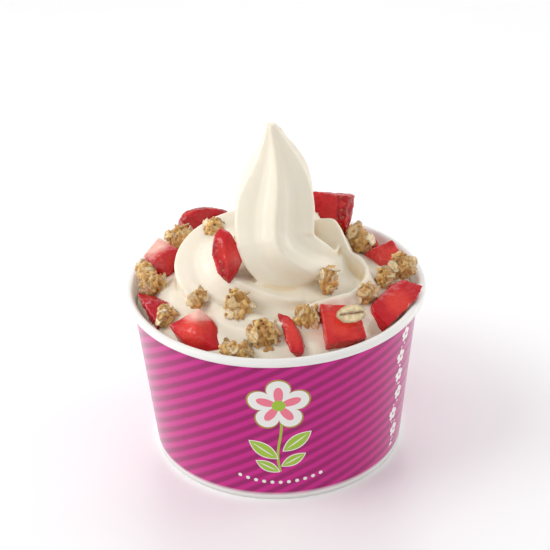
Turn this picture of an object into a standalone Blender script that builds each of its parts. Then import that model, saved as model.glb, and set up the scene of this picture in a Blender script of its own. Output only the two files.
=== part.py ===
"""Frozen yogurt in a paper cup, piped as a fluted swirl, with cut strawberries and granola.

Metres, +Z up. The origin is on the table at the middle of the cup's foot. The side that the
strawberry slice on the swirl faces is -Y.
"""
import math

import bmesh
import bpy
from mathutils import Euler, Matrix, Vector, noise

MM = 0.001
GAP = 0.3 * MM
WELD = 0.001 * MM
TURN_WELD = 0.01 * MM
SHARP_ANGLE = 40.0
POCKET_CORNER_LIMIT = 2.0

# Paper cup
CUP_HEIGHT = 67.6 * MM
RIM_RADIUS = 57.5 * MM
FOOT_RADIUS = 48.0 * MM
PAPER = 0.8 * MM
RIM_ROLL_RADIUS = 1.7 * MM
RIM_ROLL_STEPS = 9
RIM_ROLL_START = 180.0
RIM_ROLL_END = -120.0
HEM_HEIGHT = 7.0 * MM
BASE_HEIGHT = 8.0 * MM
BASE_FLANGE_BOTTOM = 1.2 * MM
CUP_STEPS = 60

# Frozen yogurt: heights are above the rim
FILL_GAP = 0.9 * MM
FILL_EDGE_DEPTH = 7.3 * MM
FILL_RINGS = ((0.0, 9.0 * MM), (0.6, 3.0 * MM), (0.8, -0.6 * MM))
FILL_STEPS = 72
TIP_HEIGHT = 66.0 * MM
TIP_RADIUS = 2.2 * MM
PEAK_RADIUS = 15.6 * MM
PEAK_TAPER = 1.2
PEAK_FOOT_HEIGHT = 22.5 * MM
PEAK_LEAN = 1.6 * MM
PEAK_BELLY = 2.0 * MM
PEAK_SWAY = 0.6 * MM
PEAK_LEAN_POWER = 1.2
PEAK_STEPS = 26
COIL_START_TURN = -90.0
COIL_END_TURN = 450.0
COIL_TURN_STEP = 7.5
COIL_INNER_REACH = 7.5 * MM
COIL_OUTER_REACH = 22.0 * MM
COIL_OPENING = 120.0
COIL_BULGE = 3.5 * MM
COIL_BULGE_TURN = 180.0
COIL_BULGE_SPREAD = 60.0
COIL_TOP = 13.0 * MM
COIL_DROP = 16.5 * MM
COIL_DROP_START = -60.0
COIL_DROP_TURNS = 360.0
COIL_DRIFT = 5.0 * MM
COIL_DRIFT_START = 150.0
COIL_DRIFT_TURNS = 120.0
PEAK_SETTLE = 25.0
ROPE_RADIUS = 14.5 * MM
ROPE_BULGE = 2.0 * MM
ROPE_PINCH = 4.5 * MM
ROPE_PINCH_TURN = 12.0
ROPE_PINCH_SPREAD = 45.0
FLUTES = 6
FLUTE_DEPTH = 0.22
FLUTE_CREST = 0.06
FLUTE_SHARPNESS = 1.2
FLUTE_TWIST_START = -60.0
FLUTE_TWIST = 0.43
FLUTE_POINTS = 72
TIP_FOLD_RADIUS = 1.2 * MM
TIP_FOLD_THINNING = 0.5
TIP_FOLD_START = 0.06
TIP_FOLD_SPAN = 0.24
TIP_FOLD_RIGHT = 0.85
TIP_FOLD_BACK = 0.2
TIP_FOLD_STEPS = 8
TIP_FOLD_ROUNDNESS = 3
LOW_COIL_START_TURN = 150.0
LOW_COIL_END_TURN = 345.0
LOW_COIL_REACH = 31.0 * MM
LOW_COIL_SPREAD = 5.0 * MM
LOW_COIL_DEPTH = 5.0 * MM
LOW_COIL_SINK = 2.5 * MM
LOW_COIL_RADIUS = 11.5 * MM
LOW_COIL_THIN_END = 0.75
LOW_COIL_TWIST = 80.0
LOW_COIL_STEPS = 24
# The raised lips of the rope on the right: upper edge in mm (height above the rim) and slope outside
LIPS = (
    ("ear", (
        (8.0, 5.0, 22.0), (14.4, 5.0, 23.0), (16.8, 5.5, 23.5), (22.8, 4.6, 23.8), (24.7, 3.5, 20.9),
        (26.5, 2.0, 16.6), (28.6, 1.0, 12.0)), 0.35),
    ("bowl", (
        (27.0, 2.0, 9.0), (27.9, 0.5, 11.9), (31.8, -2.0, 11.2), (34.6, -6.0, 9.0), (34.8, -12.0, 7.8),
        (31.6, -17.0, 6.6), (27.0, -22.0, 6.8), (21.1, -26.0, 7.3), (15.4, -28.0, 7.2), (10.0, -29.0, 5.0)), 0.5),
)
LIP_DROPS = (0.6, 2.0, 4.0, 6.0, 8.0, 11.0, 14.0)
LIP_HALF_EDGE = 0.9
LIP_HOLLOW = 0.03
# One press of the spatula in mm: middle, reach and move
PRESS_MIDDLE = (18.0, -2.0, 22.0)
PRESS_REACH = 7.0
PRESS_MOVE = (0.0, -0.5, -9.0)
SWIRL_VOXEL = 1.1 * MM
SWIRL_SMOOTHING = 8
SWIRL_SOFTNESS = 0.5
SWIRL_TRIANGLES = 3800

# Strawberry pieces: whole berry, then the part kept between cutting planes
BERRY_SEGMENTS = 12
BERRY_RINGS = 8
BERRY_SHOULDER = 0.25

# Granola clusters
CLUSTER_LUMPS = 0.28
CLUSTER_LUMP_FREQUENCY = 1.6
CLUSTER_SEED_STRIDE = (3.1, 1.7, 0.0)
CLUSTER_TRIANGLES = 168
FLAKE_LENGTH = 9.0 * MM
FLAKE_WIDTH = 6.0 * MM
FLAKE_THICKNESS = 1.9 * MM
FLAKE_SEGMENTS = 8
FLAKE_RINGS = 3
FLAKES_PER_CLUSTER = 3
FLAKE_TURN_PER_SEED = 0.13
FLAKE_TILT = 35.0
FLAKE_TILT_STEP = 12.0
FLAKE_RISE = 0.9
FLAKE_SEAT = 0.72
FULL_FLAKE_CLUSTER = 5.5

# Each row: name, place (x, y, height above the rim) in mm, turn about x, y, z in degrees,
# berry length and radius in mm, and the shares kept along its length, width and thickness
STRAWBERRIES = (
    ("strawberry_back_left", (-26.5, 37.5, 3.0), (70, 0, 15), (26, 9),
     ((-0.9, 0.8), (-0.9, 1), (-0.3, 0.3))),
    ("strawberry_front_right", (24.0, -37.0, 0.2), (35, 0, 8), (28, 12),
     ((-0.5, 0.55), (-0.6, 0.6), (-0.5, 0.4))),
    ("strawberry_back_right", (43.0, 12.5, 1.0), (45, -10, 40), (23, 7.5),
     ((-0.5, 0.5), (-0.7, 0.7), (-0.4, 0.4))),
    ("strawberry_back_wall", (35.5, 28.0, -3.5), (75, 0, -52), (22, 8),
     ((-0.9, 0.9), (-0.9, 0.9), (-0.2, 0.2))),
    ("strawberry_behind", (2.0, 42.5, 1.5), (65, 0, -10), (28, 11),
     ((-0.8, 0.8), (-0.8, 0.8), (-0.3, 0.3))),
    ("strawberry_behind_left", (-10.5, 44.5, -1.0), (10, 0, 35), (24, 9),
     ((-0.6, 0.6), (-0.6, 0.6), (-0.5, 0.5))),
)

# Wedges cut on every side: the corners (x, y, height above the rim) in mm
STRAWBERRY_WEDGES = (
    ("strawberry_left", (
        (-50.5, 9.0, 7.5), (-44.5, 17.0, 11.5), (-36.5, 9.5, 9.8), (-43.5, 6.0, 9.2), (-41.4, 3.0, 1.5),
        (-48.0, 3.5, 3.5), (-46.0, 8.0, -3.0), (-38.0, 8.0, -2.0), (-42.0, 14.0, -2.0),
        (-49.0, 12.0, 0.0))),
    ("strawberry_on_swirl", (
        (-20.2, -8.5, 28.6), (-22.8, -12.0, 26.8), (-23.6, -16.0, 21.0), (-21.7, -18.5, 14.2),
        (-17.0, -21.5, 10.6), (-11.4, -18.0, 19.0), (-12.4, -16.0, 23.0), (-16.0, -12.0, 28.2),
        (-18.5, -15.5, 26.5), (-17.6, -20.5, 20.5), (-17.4, -22.5, 14.5), (-17.2, -5.0, 24.0),
        (-15.2, -9.0, 15.0), (-15.2, -13.0, 8.0))),
    ("strawberry_front_left", (
        (-28.0, -31.0, 7.4), (-24.0, -33.0, 4.8), (-19.8, -37.0, -0.6), (-20.9, -45.0, -2.0),
        (-34.2, -39.5, -0.8), (-39.6, -33.0, 1.6), (-29.0, -41.5, 2.8), (-29.0, -28.0, 0.5),
        (-22.0, -31.0, -3.5), (-36.0, -29.0, -2.5), (-20.0, -42.0, -6.5), (-31.0, -41.0, -6.5),
        (-36.0, -34.0, -5.5))),
    ("strawberry_right", (
        (35.4, -25.0, 3.2), (43.1, -13.0, 4.8), (48.3, -10.0, 5.2), (56.0, -12.4, 3.4),
        (53.4, -18.0, 2.0), (41.6, -32.5, -1.8), (35.4, -27.0, 2.0), (34.6, -22.5, -1.5),
        (42.5, -13.0, 0.2), (46.8, -11.0, 0.6), (51.2, -12.0, -0.8), (48.0, -17.5, -4.0),
        (38.5, -31.0, -6.5), (34.5, -25.0, -2.5))),
    ("strawberry_back", (
        (15.4, 27.0, 23.8), (16.5, 22.0, 3.0), (25.0, 24.0, 23.2), (23.5, 20.0, 2.0),
        (32.4, 29.0, 20.6), (28.5, 25.0, 2.0), (17.0, 33.0, 20.0), (31.0, 35.0, 18.0),
        (18.0, 36.0, 1.0), (28.0, 36.0, 0.0), (29.4, 25.5, 22.0), (27.0, 22.0, 2.5))),
    ("strawberry_left_wall", (
        (-52.3, -8.0, 0.6), (-46.1, -9.0, 0.4), (-38.5, -15.0, -0.2), (-44.0, -27.0, -1.4),
        (-50.6, -14.0, 1.4), (-44.0, -17.0, 2.2), (-49.0, -9.0, -5.0), (-42.0, -12.0, -6.0),
        (-40.0, -18.0, -6.0), (-44.0, -25.0, -6.5), (-47.0, -18.0, -6.0))),
    ("strawberry_front", (
        (0.2, -34.0, 6.2), (4.7, -37.0, 6.4), (7.4, -42.0, 3.8), (9.2, -46.0, 0.6), (9.6, -50.0, -1.6),
        (4.6, -49.5, -1.2), (3.2, -45.5, 1.2), (2.0, -40.0, 3.2), (4.5, -33.0, 3.0), (8.5, -38.0, 1.0),
        (10.2, -44.0, -2.0), (3.0, -36.0, -2.0), (6.0, -44.0, -5.0), (8.0, -48.0, -5.5))),
)

# Each row: name, place (x, y, height above the rim) in mm, half sizes in mm, turn about z, seed
GRANOLA = (
    ("granola_back_left", (-35.0, 22.0, 6.9), (7.2, 6.2, 6.2), 20, 1),
    ("granola_behind_slice", (-23.2, 13.5, 14.6), (5.6, 4.8, 5.0), 60, 2),
    ("granola_left_rim", (-49.3, 3.0, 4.0), (3.6, 4.2, 4.6), 10, 3),
    ("granola_left", (-46.3, -4.5, 1.8), (6.0, 4.8, 4.6), 40, 4),
    ("granola_left_front", (-40.3, -24.0, -1.2), (4.4, 4.8, 5.0), -30, 5),
    ("granola_left_flake", (-28.6, -24.0, 6.6), (4.8, 2.6, 3.6), 30, 6),
    ("granola_front_swirl", (-12.6, -31.0, 6.7), (6.2, 5.0, 7.6), -20, 7),
    ("granola_front", (-4.6, -42.0, 1.2), (6.8, 5.4, 7.6), 10, 8),
    ("granola_front_rim", (-14.9, -46.0, -2.6), (7.0, 3.6, 2.9), -18, 9),
    ("granola_front_right", (11.6, -35.0, 4.1), (6.6, 4.8, 4.8), 15, 10),
    ("granola_in_fold", (19.0, -20.5, 10.9), (4.4, 4.2, 6.0), 60, 11),
    ("granola_right_small", (34.0, -19.0, 3.4), (5.4, 4.4, 4.2), 40, 12),
    ("granola_right_inner", (41.2, -8.0, 4.4), (4.6, 4.2, 4.2), 70, 19),
    ("granola_right", (48.2, -1.0, 4.9), (5.4, 5.8, 5.8), 90, 13),
    ("granola_back_right", (33.0, 18.4, 6.4), (7.2, 5.8, 6.0), 130, 14),
    ("granola_behind_peak", (17.0, 26.0, 12.0), (4.0, 4.0, 4.6), 150, 15),
    ("granola_behind", (-11.0, 36.0, 5.0), (6.4, 5.6, 5.0), 10, 16),
    ("granola_behind_right", (15.0, 44.0, 0.5), (5.6, 4.6, 4.4), 40, 17),
    ("oat_flake_front_right", (27.2, -39.8, 8.3), (5.2, 3.0, 2.4), 10, 18),
)


def new_material(name, color, roughness):
    """A Principled material of one colour."""
    material = bpy.data.materials.new(name)
    material.use_nodes = True
    shader = material.node_tree.nodes["Principled BSDF"]
    shader.inputs["Base Color"].default_value = (*color, 1.0)
    shader.inputs["Roughness"].default_value = roughness
    shader.inputs["Metallic"].default_value = 0.0
    return material


def new_collection(name):
    """A collection linked to the scene."""
    collection = bpy.data.collections.new(name)
    bpy.context.scene.collection.children.link(collection)
    return collection


def add_object(name, data, collection, material=None):
    """An object for the mesh or curve, in the collection."""
    obj = bpy.data.objects.new(name, data)
    collection.objects.link(obj)
    if material is not None:
        obj.data.materials.append(material)
    return obj


def mesh_from_bmesh(name, bm):
    """A mesh from the bmesh, which is freed."""
    mesh = bpy.data.meshes.new(name)
    bm.to_mesh(mesh)
    bm.free()
    return mesh


def evaluated_mesh(obj):
    """The object's mesh after its modifiers or curve settings."""
    bpy.context.view_layer.update()
    depsgraph = bpy.context.evaluated_depsgraph_get()
    return bpy.data.meshes.new_from_object(obj.evaluated_get(depsgraph))


def apply_modifiers(obj):
    """Puts the evaluated mesh in place of the object's own."""
    mesh = evaluated_mesh(obj)
    obj.modifiers.clear()
    obj.data = mesh


def coarsen(obj, triangles):
    """Reduces the object to about this many triangles."""
    faces = sum(len(polygon.vertices) - 2 for polygon in obj.data.polygons)
    decimate = obj.modifiers.new("coarsen", "DECIMATE")
    decimate.ratio = min(1.0, triangles / faces)
    apply_modifiers(obj)


def turned(name, profile, closed, steps, collection, material):
    """A body turned about Z from a profile of (radius, height), which runs down the outer side."""
    bm = bmesh.new()
    points = [bm.verts.new((radius, 0.0, height)) for radius, height in profile]
    for first, second in zip(points, points[1:]):
        bm.edges.new((first, second))
    if closed:
        bm.edges.new((points[-1], points[0]))
    obj = add_object(name, mesh_from_bmesh(name, bm), collection, material)
    screw = obj.modifiers.new("turn", "SCREW")
    screw.axis = "Z"
    screw.angle = math.tau
    screw.steps = steps
    screw.render_steps = steps
    screw.use_merge_vertices = True
    screw.merge_threshold = TURN_WELD
    apply_modifiers(obj)
    obj.data.shade_smooth()
    obj.data.set_sharp_from_angle(angle=math.radians(SHARP_ANGLE))
    return obj


def wall_slope():
    """Outward travel of the wall for each metre of height."""
    top = RIM_RADIUS - 2 * RIM_ROLL_RADIUS + PAPER
    return (top - FOOT_RADIUS) / (CUP_HEIGHT - RIM_ROLL_RADIUS)


def outer_radius(height):
    """The wall's outer radius at a height."""
    return FOOT_RADIUS + wall_slope() * height


def inner_radius(height):
    """The wall's inner radius at a height."""
    return outer_radius(height) - PAPER


def rim_roll():
    """The rolled rim from its inner side over the top and round to the outer side of the wall."""
    center_radius = RIM_RADIUS - RIM_ROLL_RADIUS
    center_height = CUP_HEIGHT - RIM_ROLL_RADIUS
    points = []
    for step in range(RIM_ROLL_STEPS + 1):
        share = step / RIM_ROLL_STEPS
        angle = math.radians(RIM_ROLL_START + (RIM_ROLL_END - RIM_ROLL_START) * share)
        radius = center_radius + RIM_ROLL_RADIUS * math.cos(angle)
        points.append((radius, center_height + RIM_ROLL_RADIUS * math.sin(angle)))
    return points


def cup_wall_profile():
    """The wall with its rolled rim and the hem folded up inside the foot."""
    slot = PAPER + 2 * GAP
    hem_outer = inner_radius(0) - slot
    wall_top = CUP_HEIGHT - 2 * RIM_ROLL_RADIUS
    return rim_roll() + [
        (outer_radius(wall_top), wall_top),
        (outer_radius(0), 0.0),
        (hem_outer - PAPER, 0.0),
        (hem_outer - PAPER + wall_slope() * HEM_HEIGHT, HEM_HEIGHT),
        (hem_outer + wall_slope() * HEM_HEIGHT, HEM_HEIGHT),
        (hem_outer, PAPER),
        (inner_radius(PAPER), PAPER),
    ]


def cup_base_profile():
    """The bottom disc with its flange, which sits in the wall's folded hem."""
    top = BASE_HEIGHT + PAPER
    flange_top = inner_radius(top) - GAP
    flange_bottom = inner_radius(BASE_FLANGE_BOTTOM) - GAP
    return [
        (0.0, top),
        (flange_top, top),
        (flange_bottom, BASE_FLANGE_BOTTOM),
        (flange_bottom - PAPER, BASE_FLANGE_BOTTOM),
        (flange_top - PAPER, BASE_HEIGHT),
        (0.0, BASE_HEIGHT),
    ]


def eased(share):
    """A share from 0 to 1 that starts and ends gently."""
    share = min(max(share, 0.0), 1.0)
    return share * share * (3.0 - 2.0 * share)


def peak_station(share):
    """Centre, radius and twist of the rope in the peak, from the tip at 0 to the coil at 1."""
    height = TIP_HEIGHT + (PEAK_FOOT_HEIGHT - TIP_HEIGHT) * share
    bend = share ** PEAK_LEAN_POWER
    x = PEAK_LEAN * math.sin(math.pi * bend) + PEAK_SWAY * math.sin(math.tau * bend)
    y = -COIL_INNER_REACH * share ** 4
    radius = TIP_RADIUS * (1.0 - share) + PEAK_RADIUS * math.sin(math.pi / 2 * share) ** PEAK_TAPER
    radius += PEAK_BELLY * math.sin(math.pi * share) ** 2
    return Vector((x, y, CUP_HEIGHT + height)), radius, 0.0


def coil_station(turn):
    """Centre, radius and twist of the rope in the coil, whose turns grow and sink into the cup."""
    past = turn - COIL_START_TURN
    reach = COIL_OUTER_REACH + (COIL_INNER_REACH - COIL_OUTER_REACH) * math.exp(-past / COIL_OPENING)
    reach += COIL_BULGE * math.exp(-((turn - COIL_BULGE_TURN) / COIL_BULGE_SPREAD) ** 2)
    settling = (PEAK_FOOT_HEIGHT - COIL_TOP) * math.exp(-past / PEAK_SETTLE)
    height = COIL_TOP + settling - COIL_DROP * eased((turn - COIL_DROP_START) / COIL_DROP_TURNS)
    bulge = ROPE_BULGE * math.exp(-((turn - COIL_BULGE_TURN) / COIL_BULGE_SPREAD) ** 2)
    pinch = ROPE_PINCH * math.exp(-((turn - ROPE_PINCH_TURN) / ROPE_PINCH_SPREAD) ** 2)
    swell = (PEAK_RADIUS - ROPE_RADIUS) * math.exp(-past / PEAK_SETTLE)
    angle = math.radians(turn)
    drift = COIL_DRIFT * eased((turn - COIL_DRIFT_START) / COIL_DRIFT_TURNS)
    center = Vector((reach * math.cos(angle), reach * math.sin(angle) + drift, CUP_HEIGHT + height))
    twist = FLUTE_TWIST * max(0.0, turn - FLUTE_TWIST_START)
    return center, ROPE_RADIUS + swell + bulge - pinch, twist


def swirl_stations():
    """The rope's centres, radii and twists from the tip down to its buried end."""
    stations = [peak_station(step / PEAK_STEPS) for step in range(PEAK_STEPS)]
    turns = round((COIL_END_TURN - COIL_START_TURN) / COIL_TURN_STEP)
    stations += [coil_station(COIL_START_TURN + step * COIL_TURN_STEP) for step in range(turns + 1)]
    return stations


def low_coil_stations():
    """The first turn of the rope, low between the toppings from the left round to the front."""
    stations = []
    for step in range(LOW_COIL_STEPS + 1):
        share = step / LOW_COIL_STEPS
        angle = math.radians(LOW_COIL_START_TURN + (LOW_COIL_END_TURN - LOW_COIL_START_TURN) * share)
        reach = LOW_COIL_REACH + LOW_COIL_SPREAD * share
        height = CUP_HEIGHT - LOW_COIL_DEPTH - LOW_COIL_SINK * share
        thickness = LOW_COIL_THIN_END + (1.0 - LOW_COIL_THIN_END) * math.sin(math.pi * share)
        center = Vector((reach * math.cos(angle), reach * math.sin(angle), height))
        stations.append((center, LOW_COIL_RADIUS * thickness, LOW_COIL_TWIST * share))
    return stations


def lip_section(slope):
    """A lip's section in mm: how far below its edge, and how far to its hollow side."""
    hollow = [(drop, LIP_HALF_EDGE + LIP_HOLLOW * drop ** 2) for drop in LIP_DROPS]
    outside = [(drop, -LIP_HALF_EDGE - slope * drop) for drop in reversed(LIP_DROPS)]
    return [(0.0, 0.0)] + hollow + outside


def lip(row, collection):
    """One raised lip, where the rope folds out of the peak: hollow on its inner side."""
    name, edge, slope = row
    edge = [Vector(point) for point in edge]
    bm = bmesh.new()
    rings = []
    for index, point in enumerate(edge):
        along = edge[min(index + 1, len(edge) - 1)] - edge[max(index - 1, 0)]
        inward = Vector((along.y, -along.x, 0.0)).normalized()
        ring = [point + inward * aside - Vector((0.0, 0.0, drop)) for drop, aside in lip_section(slope)]
        rings.append([bm.verts.new(corner * MM + Vector((0.0, 0.0, CUP_HEIGHT))) for corner in ring])
    for first, second in zip(rings, rings[1:]):
        for here in range(len(first)):
            following = (here + 1) % len(first)
            bm.faces.new((first[here], first[following], second[following], second[here]))
    bm.faces.new(rings[0])
    bm.faces.new(rings[-1])
    return add_object(name, mesh_from_bmesh(name, bm), collection)


def press(bm):
    """Pushes the rope in where the hollow in front of the ear is."""
    middle = Vector(PRESS_MIDDLE) * MM + Vector((0.0, 0.0, CUP_HEIGHT))
    for vert in bm.verts:
        away = (vert.co - middle).length / (PRESS_REACH * MM)
        vert.co += Vector(PRESS_MOVE) * MM * math.exp(-away ** 2)


def star_outline(collection):
    """The nozzle's star as a closed curve of radius about 1."""
    curve = bpy.data.curves.new("nozzle_star", "CURVE")
    curve.dimensions = "2D"
    spline = curve.splines.new("POLY")
    spline.points.add(FLUTE_POINTS - 1)
    for index, point in enumerate(spline.points):
        angle = math.tau * index / FLUTE_POINTS
        valley = abs(math.sin(FLUTES * angle / 2)) ** FLUTE_SHARPNESS
        radius = 1.0 + FLUTE_CREST - FLUTE_DEPTH * valley
        point.co = (radius * math.cos(angle), radius * math.sin(angle), 0.0, 1.0)
    spline.use_cyclic_u = True
    return hide_helper(add_object("nozzle_star", curve, collection))


def hide_helper(obj):
    """Marks a guide or cutter, which isn't part of the object."""
    obj.hide_render = True
    obj.display_type = "WIRE"
    return obj


def rope_curve(name, stations, star, collection):
    """A curve through the stations, swept by the star or by a plain round section."""
    curve = bpy.data.curves.new(name, "CURVE")
    curve.dimensions = "3D"
    curve.twist_mode = "MINIMUM"
    spline = curve.splines.new("POLY")
    spline.points.add(len(stations) - 1)
    for point, (center, radius, twist) in zip(spline.points, stations):
        point.co = (*center, 1.0)
        point.radius = radius
        point.tilt = math.radians(twist)
    if star is None:
        curve.bevel_depth = 1.0
        curve.bevel_resolution = TIP_FOLD_ROUNDNESS
    else:
        curve.bevel_mode = "OBJECT"
        curve.bevel_object = star
    curve.use_fill_caps = True
    return add_object(name, curve, collection)


def tip_fold_stations():
    """A thin fold of yogurt that runs from the tip down the right of the peak."""
    stations = []
    for step in range(TIP_FOLD_STEPS + 1):
        share = step / TIP_FOLD_STEPS
        center, radius, twist = peak_station(TIP_FOLD_START + TIP_FOLD_SPAN * share)
        offset = Vector((radius * TIP_FOLD_RIGHT, radius * TIP_FOLD_BACK, 0.0))
        stations.append((center + offset, TIP_FOLD_RADIUS * (1.0 - TIP_FOLD_THINNING * share), twist))
    return stations


def fill_profile():
    """The yogurt that fills the cup, up to a low crown under the coil."""
    bottom = BASE_HEIGHT + PAPER + FILL_GAP
    edge = CUP_HEIGHT - FILL_EDGE_DEPTH
    return [(share * RIM_RADIUS, CUP_HEIGHT + height) for share, height in FILL_RINGS] + [
        (inner_radius(edge) - 2.0 * FILL_GAP, edge + 0.5 * FILL_GAP),
        (inner_radius(edge) - FILL_GAP, edge - 0.5 * FILL_GAP),
        (inner_radius(bottom) - FILL_GAP, bottom),
        (0.0, bottom),
    ]


def closed_copy(obj):
    """The object's evaluated mesh as a bmesh, with loose caps welded and faces outward."""
    bm = bmesh.new()
    bm.from_mesh(evaluated_mesh(obj))
    bmesh.ops.remove_doubles(bm, verts=bm.verts, dist=WELD)
    bmesh.ops.recalc_face_normals(bm, faces=bm.faces)
    return bm


def make_yogurt(collection, helpers, material):
    """The fill and the piped rope, melted into one body."""
    star = star_outline(helpers)
    pieces = [
        rope_curve("rope", swirl_stations(), star, helpers),
        rope_curve("tip_fold", tip_fold_stations(), None, helpers),
        rope_curve("low_coil", low_coil_stations(), star, helpers),
        turned("fill", fill_profile(), False, FILL_STEPS, helpers, None),
    ] + [lip(row, helpers) for row in LIPS]
    joined = bmesh.new()
    for piece in pieces:
        shell = closed_copy(piece)
        if piece is pieces[0]:
            press(shell)
        joined.from_mesh(mesh_from_bmesh(piece.name, shell))
    yogurt = add_object("yogurt", mesh_from_bmesh("yogurt", joined), collection, material)
    for piece in pieces + [star]:
        bpy.data.objects.remove(piece)
    remesh = yogurt.modifiers.new("melt", "REMESH")
    remesh.mode = "VOXEL"
    remesh.voxel_size = SWIRL_VOXEL
    smooth = yogurt.modifiers.new("soften", "SMOOTH")
    smooth.factor = SWIRL_SOFTNESS
    smooth.iterations = SWIRL_SMOOTHING
    apply_modifiers(yogurt)
    coarsen(yogurt, SWIRL_TRIANGLES)
    yogurt.data.materials.clear()
    yogurt.data.materials.append(material)
    yogurt.data.shade_smooth()
    return yogurt


def shape_berry(bm, length, radius):
    """Turns a unit sphere into a strawberry along X: wide at the shoulder, narrow at the tip."""
    for vert in bm.verts:
        along = vert.co.x
        width = radius * (1.0 - BERRY_SHOULDER * along)
        vert.co = Vector((along * length / 2, vert.co.y * width, vert.co.z * width))


def keep_between(bm, axis, low, high):
    """Cuts the body with two planes across an axis and closes the cuts."""
    for distance, side in ((low, -1.0), (high, 1.0)):
        point, normal = Vector(), Vector()
        point[axis] = distance
        normal[axis] = side
        geometry = bm.verts[:] + bm.edges[:] + bm.faces[:]
        kept = bmesh.ops.bisect_plane(bm, geom=geometry, plane_co=point, plane_no=normal, clear_outer=True)
        edges = [item for item in kept["geom_cut"] if isinstance(item, bmesh.types.BMEdge)]
        if edges:
            bmesh.ops.edgeloop_fill(bm, edges=edges)


def center_verts(bm):
    """Moves the shape so that the middle of its box is at the origin."""
    low = Vector(min(vert.co[axis] for vert in bm.verts) for axis in range(3))
    high = Vector(max(vert.co[axis] for vert in bm.verts) for axis in range(3))
    bmesh.ops.translate(bm, verts=bm.verts, vec=-(low + high) / 2)


def place(obj, at, turn):
    """Sets an object down at (x, y, height above the rim) in mm, turned by degrees about x, y, z."""
    x, y, height = (value * MM for value in at)
    obj.location = (x, y, CUP_HEIGHT + height)
    obj.rotation_euler = Euler([math.radians(angle) for angle in turn])


def make_strawberry(row, collection, material):
    """One piece cut from a strawberry."""
    name, at, turn, (length, radius), kept = row
    bm = bmesh.new()
    bmesh.ops.create_uvsphere(bm, u_segments=BERRY_SEGMENTS, v_segments=BERRY_RINGS, radius=1.0)
    for axis, (low, high) in enumerate(kept):
        keep_between(bm, axis, low, high)
    shape_berry(bm, length * MM, radius * MM)
    center_verts(bm)
    bmesh.ops.triangulate(bm, faces=bm.faces)
    bmesh.ops.recalc_face_normals(bm, faces=bm.faces)
    obj = add_object(name, mesh_from_bmesh(name, bm), collection, material)
    place(obj, at, turn)
    return obj


def make_wedge(row, collection, material):
    """One strawberry wedge: the hull of its corners."""
    name, corners = row
    middle = sum((Vector(corner) for corner in corners), Vector()) * (MM / len(corners))
    bm = bmesh.new()
    for corner in corners:
        bm.verts.new(Vector(corner) * MM - middle)
    hull = bmesh.ops.convex_hull(bm, input=bm.verts)
    spare = [item for item in hull["geom_interior"] if isinstance(item, bmesh.types.BMVert)]
    bmesh.ops.delete(bm, geom=spare, context="VERTS")
    bmesh.ops.recalc_face_normals(bm, faces=bm.faces)
    obj = add_object(name, mesh_from_bmesh(name, bm), collection, material)
    obj.location = middle + Vector((0.0, 0.0, CUP_HEIGHT))
    return obj


def lumpy_core(half_sizes, seed):
    """An uneven lump of baked oats."""
    bm = bmesh.new()
    bmesh.ops.create_icosphere(bm, subdivisions=2, radius=1.0)
    for vert in bm.verts:
        lump = noise.noise(vert.co * CLUSTER_LUMP_FREQUENCY + Vector(CLUSTER_SEED_STRIDE) * seed)
        vert.co *= 1.0 + CLUSTER_LUMPS * lump
        vert.co = Vector(value * half * MM for value, half in zip(vert.co, half_sizes))
    return bm


def flake_mesh():
    """One rolled oat flake: a flat lens."""
    bm = bmesh.new()
    bmesh.ops.create_uvsphere(bm, u_segments=FLAKE_SEGMENTS, v_segments=FLAKE_RINGS, radius=0.5)
    size = Vector((FLAKE_LENGTH, FLAKE_WIDTH, FLAKE_THICKNESS))
    for vert in bm.verts:
        vert.co = Vector(value * span for value, span in zip(vert.co, size))
    return bm


def make_granola(row, collection, material):
    """One cluster: a lumpy core with oat flakes baked on its upper side."""
    name, at, half_sizes, turn, seed = row
    cluster = add_object(name, mesh_from_bmesh(name, lumpy_core(half_sizes, seed)), collection, material)
    flakes = new_collection(name + "_flakes")
    for index in range(FLAKES_PER_CLUSTER):
        flake = add_object("flake", mesh_from_bmesh("flake", flake_mesh()), flakes)
        around = math.tau * (index / FLAKES_PER_CLUSTER + FLAKE_TURN_PER_SEED * seed)
        tilt = math.radians(FLAKE_TILT + FLAKE_TILT_STEP * ((seed + index) % FLAKES_PER_CLUSTER))
        out = Vector((math.cos(around), math.sin(around), FLAKE_RISE)).normalized()
        flake.location = Vector(value * half * MM * FLAKE_SEAT for value, half in zip(out, half_sizes))
        scale = min(1.0, max(half_sizes) / FULL_FLAKE_CLUSTER)
        flake.scale = (scale, scale, 1.0)
        flake.rotation_euler = Euler((0.0, tilt, around))
    union = cluster.modifiers.new("bake together", "BOOLEAN")
    union.operation = "UNION"
    union.operand_type = "COLLECTION"
    union.collection = flakes
    union.solver = "MANIFOLD"
    apply_modifiers(cluster)
    coarsen(cluster, CLUSTER_TRIANGLES)
    for flake in list(flakes.objects):
        bpy.data.objects.remove(flake)
    bpy.data.collections.remove(flakes)
    place(cluster, at, (0, 0, turn))
    return cluster


def grown_hull(obj, growth, helpers):
    """A cutter: the hull of the object's mesh, grown on all sides."""
    bm = bmesh.new()
    for vert in obj.data.vertices:
        bm.verts.new(obj.matrix_world @ vert.co)
    hull = bmesh.ops.convex_hull(bm, input=bm.verts)
    spare = [item for item in hull["geom_interior"] if isinstance(item, bmesh.types.BMVert)]
    bmesh.ops.delete(bm, geom=spare, context="VERTS")
    bmesh.ops.recalc_face_normals(bm, faces=bm.faces)
    bm.normal_update()
    moves = [vert.normal * growth * min(vert.calc_shell_factor(), POCKET_CORNER_LIMIT) for vert in bm.verts]
    for vert, move in zip(bm.verts, moves):
        vert.co += move
    return hide_helper(add_object(obj.name + "_pocket", mesh_from_bmesh("pocket", bm), helpers))


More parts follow.
